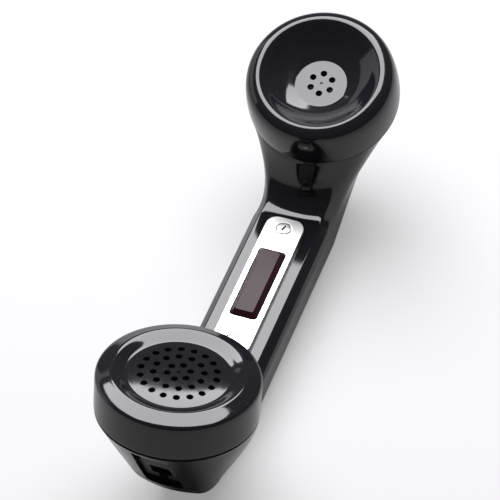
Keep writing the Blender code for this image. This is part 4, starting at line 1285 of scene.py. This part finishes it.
def helix_point(t):
    """A point of the spring about its own axis, from the bottom (0) to the top (1)."""
    angle = math.tau * SPRING_TURNS * t
    share = t - END_CLOSURE * math.sin(math.tau * t) / math.tau
    return Vector((SPRING_RADIUS * math.cos(angle), SPRING_RADIUS * math.sin(angle),
                   SPRING_LOW + (SPRING_HIGH - SPRING_LOW) * share))


for node, side in (("return_spring_front", 1), ("return_spring_rear", -1)):
    start = Vector((SWITCH_X + side * SPRING_X, 0, HANDLE_DEPTH))
    coil_line = [start + helix_point(step / SPRING_POINTS) for step in range(SPRING_POINTS + 1)]
    spring = show(node + "_coiled", wire(coil_line, SPRING_WIRE, 10), "plated_steel")
    settle(spring, node)
    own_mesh(spring)

# %% [markdown]
# ## The transmitter capsule
#
# Under the mouthpiece a carbon capsule turns sound into current. A spun case holds a pressed
# front plate, a corrugated diaphragm and a carbon chamber, and a felt washer seats it under
# the cap. All are turned profiles, and the corrugations are a sine wave added to a cone.

# %% Transmitter capsule
CAPSULE_CASE = [(0, -1.8), (16.6, -1.8), (22.6, 2.4), (23.1, 9.9), (26.2, 9.9), (26.2, 9.0),
                (23.9, 9.0), (23.4, 2.0), (17.0, -2.6), (0, -2.6)]


def add_turned(name, node, profile, finish, place, steps=MEDIUM, ring=False, width=0.08):
    """A whole turned piece with rounded edges."""
    make(name, node, turned(profile, place, steps, ring), finish, width=width)


def washer(outer, inner, low, high, soft=0.3):
    """The closed profile of a flat ring with its four corners eased."""
    return [(outer - soft, high), (outer, high - soft), (outer, low + soft), (outer - soft, low),
            (inner + soft, low), (inner, low + soft), (inner, high - soft), (inner + soft, high)]


def corrugated(inner, outer, low, high, thickness, waves, depth):
    """A thin cone whose height waves between two radii, as a profile from axis to axis."""
    count = waves * 8
    top = [(0, low + thickness), (inner, low + thickness)]
    for step in range(1, count):
        share = step / count
        wave = depth * math.sin(math.tau * waves * share)
        top.append((inner + (outer - inner) * share, low + (high - low) * share + thickness + wave))
    top.append((outer, high + thickness))
    return top + [(radius, height - thickness) for radius, height in top[::-1]]


add_turned("spun_transmitter_case", "transmitter_case", melt(CAPSULE_CASE), "mouth_alloy", MOUTH)
add_turned("felt_transmitter_washer", "transmitter_washer", washer(26.3, 24.3, 10.2, 11.3),
           "grey_felt", MOUTH, ring=True)

FRONT_PLATE = [(0, 9.1), (22.7, 9.1), (22.7, 9.9), (20.6, 9.9), (20.1, 9.6), (16.4, 9.6),
               (15.9, 9.9), (6.4, 9.9), (5.9, 9.65), (0, 9.65)]
# The front plate is dark and dull as painted shade, so the mouthpiece's holes look dark.
make("pressed_front_plate", "transmitter_front_plate", turned(FRONT_PLATE, MOUTH), "painted_shade_alloy",
     [rods(around(6, 11), 1.8, 8, 11, MOUTH)])

add_turned("corrugated_diaphragm", "transmitter_diaphragm",
           corrugated(8.5, 22.3, 6.25, 8.3, 0.3, 6, 0.18), "ivory_film", MOUTH, FINE)
add_turned("carbon_button", "carbon_chamber",
           [(0, 5.9), (3.4, 5.9), (3.8, 5.6), (6.6, 5.6), (7.6, 5.0), (7.6, 3.2), (7.0, 2.8),
            (7.0, 0.6), (7.6, 0.2), (7.6, -1.2), (7.2, -1.5), (0, -1.5)], "magnet_iron", MOUTH)
add_turned("insulating_washer", "transmitter_rear_insulator", washer(9.0, 5.0, -3.5, -2.9, 0.12),
           "brown_resin", MOUTH, ring=True)
add_turned("rear_contact_button", "transmitter_rear_contact",
           [(0, -2.9), (4.7, -2.9), (4.7, -3.4), (4.3, -3.8), (1.6, -3.8), (1.2, -3.6), (0, -3.6)],
           "gold_contact", MOUTH)

# %% [markdown]
# ## The contact cup
#
# The capsule isn't wired. It rests on two bronze springs in a moulded cup: one touches the
# button in the middle of its back, the other its rim. Each spring is held by a screw that is
# also the terminal of a lead.

# %% Contact cup, its springs and screws
CONTACT = MOUTH @ Matrix.Rotation(math.pi / 2, 4, "Z")
TERMINAL_OFFSET = 10.0
TERMINAL_HOLE = 1.5
CUP = [(0, -6.4), (15.9, -6.4), (16.3, -6.0), (16.3, -3.4), (16.5, -3.2), (17.4, -3.2),
       (17.6, -3.4), (17.6, -7.4), (17.2, -7.8), (0, -7.8)]

CENTRE_LEAF = [(-12.2, -5.92), (-5.6, -5.92), (2.6, -4.25)]
RIM_LEAF = [(12.2, -5.92), (13.5, -5.92), (15.45, -3.15)]

holes = rods([(-TERMINAL_OFFSET, 0), (TERMINAL_OFFSET, 0)], TERMINAL_HOLE, -9, -5, CONTACT)
make("moulded_contact_cup", "contact_cup", turned(CUP, CONTACT), "brown_resin", [holes], 0.12)
hole = rods([(-TERMINAL_OFFSET, 0)], TERMINAL_HOLE, -7, -5, CONTACT)
make("centre_leaf_spring", "contact_spring_centre", strip(CENTRE_LEAF, 4.6, 0.32, CONTACT),
     "spring_bronze", [hole], 0.06)
make("rim_leaf_spring", "contact_spring_rim", strip(RIM_LEAF, 3.0, 0.3, CONTACT),
     "spring_bronze", width=0.06)
for node, side, seat, slot_turn in (("cup_screw_left", 1, -6.1, 20),
                                    ("cup_screw_right", -1, -5.45, 75)):
    place = shifted(CONTACT, side * TERMINAL_OFFSET, 0, seat)
    slotted_screw(node, "plated_steel", CUP_SCREW, place, slot_turn)

# %% [markdown]
# ## The receiver capsule
#
# The earpiece holds a magnet ring, a coil on its pole and a thin disc that the pole pulls.
# The winding is shown by its turns: the outer wall of the coil's profile is a row of small
# arcs, one for each layer that can be seen.

# %% Receiver capsule
RECEIVER_CASE = [(0, -5.8), (18.7, -5.8), (22.6, -0.8), (22.8, 5.6), (26.2, 5.6), (26.2, 4.7),
                 (23.6, 4.7), (23.3, -1.0), (19.0, -6.5), (0, -6.5)]
BOARD_SCREW_OFFSET = 7.5


def winding(outer, inner, low, high, turns):
    """The closed profile of a coil whose outer wall shows each turn of its wire."""
    wall = []
    for step in range(turns * 4 + 1):
        bulge = abs(math.sin(math.pi * step / 4))
        wall.append((outer - 0.14 * (1 - bulge), high + (low - high) * step / (turns * 4)))
    return wall + [(inner, low), (inner, high)]


add_turned("spun_receiver_case", "receiver_case", melt(RECEIVER_CASE), "ear_alloy", EAR)
add_turned("felt_receiver_washer", "receiver_washer", washer(26.3, 24.3, 5.9, 7.0), "grey_felt",
           EAR, ring=True)
RECEIVER_GRID = [(0, 4.4), (22.4, 4.4), (22.4, 5.2), (19.6, 5.2), (19.0, 4.95), (12.0, 4.95),
                 (11.4, 5.2), (0, 5.2)]
# The grid is dark and dull as painted shade, so the earpiece's holes look dark and show no glints.
make("pressed_receiver_grid", "receiver_grid", turned(RECEIVER_GRID, EAR), "painted_shade_alloy",
     [rods(around(6, 7), 1.2, 3, 6, EAR)])
add_turned("receiver_disc", "receiver_diaphragm", corrugated(12.0, 22.2, 2.2, 2.2, 0.3, 3, 0.08),
           "ivory_film", EAR, FINE)
add_turned("clamping_ring", "receiver_clamp_ring", washer(22.2, 19.6, 2.8, 4.1, 0.2), "ear_alloy",
           EAR, ring=True)
add_turned("ring_magnet", "receiver_magnet", washer(17.6, 11.8, -5.5, 1.2, 0.4), "magnet_iron",
           EAR, ring=True)
add_turned("wound_coil", "receiver_coil", winding(11.2, 6.0, -5.0, 0.6, 16), "coil_copper", EAR,
           ring=True, width=0.02)
add_turned("pole_piece", "receiver_pole", [(0, 1.3), (1.6, 1.3), (1.9, 1.6), (5.2, 1.6),
           (5.6, 1.2), (5.6, -5.2), (5.3, -5.5), (0, -5.5)], "plated_steel", EAR)

board_screws = [(0, BOARD_SCREW_OFFSET), (0, -BOARD_SCREW_OFFSET)]
make("receiver_terminal_board", "receiver_terminal_block",
     rounded_slab(13, 22, 1.2, -8.4, -6.8, EAR), "brown_resin",
     [rods(board_screws, TERMINAL_HOLE, -10, -5, EAR)], 0.2)
for node, (x, y), slot_turn in zip(("receiver_screw_left", "receiver_screw_right"), board_screws,
                                   (35, 110)):
    seat = shifted(EAR, x, y, -8.7) @ Matrix.Rotation(math.pi, 4, "X")
    slotted_screw(node, "plated_steel", TERMINAL_SCREW, seat, slot_turn)
add_turned("disc_varistor", "receiver_varistor",
           [(0, -8.7), (2.6, -8.7), (3.2, -8.95), (3.4, -9.4), (3.4, -9.8), (3.2, -10.2),
            (2.6, -10.4), (0, -10.4)], "brown_resin", EAR, 48)

# %% [markdown]
# ## The cord socket
#
# The cord plugs into the end wall of the mouthpiece cup. The housing is a side view extruded
# across, with a cavity for the plug and a narrower one for its latch. Four gold wires spring
# forward from its back, and the plug's contacts press on them.

# %% Cord socket
SHELF = 3.4
SOCKET_BACK = -12.4
HOUSING = [(7.5, -2.2), (7.5, -4.6), (SHELF, -4.6), (SHELF, SOCKET_BACK),
           (SOCKET_FOOT, SOCKET_BACK), (SOCKET_FOOT, -3.4), (SOCKET_FOOT + 2, -2.2)]
CONTACT_LINE = [(1.5, -10.4), (1.5, -7.0), (1.5, -4.2), (1.3, -3.6), (1.05, -4.4), (0.7, -7.0),
                (0.25, -9.6)]
CONTACT_PITCH = 1.27

cavity = rounded_slab(8.6, 7.9, 0.4, -11, 1, shifted(SOCKET, -2.3, 0, 0))
latch = rounded_slab(5.2, 3.6, 0.4, -11, 1, shifted(SOCKET, -8.4, 0, 0))
make("socket_housing", "cord_socket", extruded(HOUSING, SOCKET_WIDTH, SOCKET), "inner_black",
     [cavity, latch], 0.25)
for index in range(4):
    aside = (index - 1.5) * CONTACT_PITCH
    route = [at(SOCKET, x, aside, z) for x, z in melt(CONTACT_LINE, 3)]
    contact = show(f"contact_wire_{index + 1}", wire(route, 0.2, 8), "gold_contact")
    settle(contact, f"socket_contact_{index + 1}")

# %% [markdown]
# ## The leads
#
# Five insulated leads join the socket, the switch and both capsules. Each follows a few
# points, given in the frame of the cup, the socket or the handle that it passes, and a smooth
# curve runs through them. Their colours tell them apart, as a wiring diagram needs.

# %% Leads
LEAD_RADIUS = 0.85


def along(x, y, depth):
    """A point under the face of the handle, measured from the middle of the switch."""
    return Vector((SWITCH_X + x, y, HANDLE_DEPTH - depth))


def receiver_lead(side):
    return [at(EAR, -2.9, 7.9 * side, -10.0), at(EAR, -8, 9 * side, -12.5),
            along(52, 9.6 * side, 13), along(20, 9 * side, 15.5), along(-20, 9 * side, 15.5),
            along(-52, 9.4 * side, 13.5), at(SOCKET, -9, 5 * side, -18.5),
            at(SOCKET, -9, 4.6 * side, -13.3)]


ROUTES = {
    "red_sleeve": ("lead_receiver_red", receiver_lead(1)),
    "white_sleeve": ("lead_receiver_white", receiver_lead(-1)),
    "black_sleeve": ("lead_switch_black", [
        along(-7, -3, 16.5), along(-14, -5.5, 17.5), along(-40, -5, 12),
        at(MOUTH, 10, -10, -14), at(MOUTH, 1.5, -10.4, -13), at(MOUTH, 0, -10, -9.6)]),
    "green_sleeve": ("lead_transmitter_green", [
        at(MOUTH, 0, 10, -10.2), at(MOUTH, -0.5, 10, -13.4), at(SOCKET, -3, 6, -18),
        at(SOCKET, -3, 4.4, -13.3)]),
    "yellow_sleeve": ("lead_switch_yellow", [
        along(0, -3, 16.5), along(-8, -1.5, 19), along(-30, 0, 16), along(-52, -2, 16.5),
        at(SOCKET, -6, -4, -19.5), at(SOCKET, -6, -4.4, -13.3)]),
}
for sleeve, (node, points) in ROUTES.items():
    lead = show(node + "_wire", wire(smooth_route(points), LEAD_RADIUS, 16), sleeve)
    settle(lead, node)

# %% [markdown]
# ## The damper
#
# A block of felt stops sound from passing through the hollow handle. It is cut with a knife
# and pushed in, so its edges are soft and its sides bulge a little between them. A box is
# divided into a grid, its points are eased outwards by how far they are from the edges, and
# the edges are rounded.

# %% Damper
DAMPER = (10.4, 13.4, 14.4)
BULGE = 0.3
CORNER_EASE = 0.03


def felt_block():
    bm = bmesh.new()
    bmesh.ops.create_cube(bm, size=2.0)
    bmesh.ops.subdivide_edges(bm, edges=bm.edges, cuts=9, use_grid_fill=True)
    half = [side / 2 * MM for side in DAMPER]
    for vert in bm.verts:
        x, y, z = vert.co
        crown = Vector((x * (1 - y * y) * (1 - z * z), y * (1 - x * x) * (1 - z * z),
                        z * (1 - x * x) * (1 - y * y)))
        ease_in = CORNER_EASE * (x * x * y * y + y * y * z * z + z * z * x * x)
        soft = vert.co * (1 - ease_in)
        vert.co = Vector([s * h for s, h in zip(soft, half)]) + crown * (BULGE * MM)
    bm.transform(Matrix.Translation(along(46, 0, 12.2) * MM))
    return bm


damper = show("felt_damper", felt_block(), "grey_felt")
rounding = damper.modifiers.new("soft_edges", "SUBSURF")
rounding.levels = 1
rounding.render_levels = 1
settle(damper, "handle_damper")

# %% [markdown]
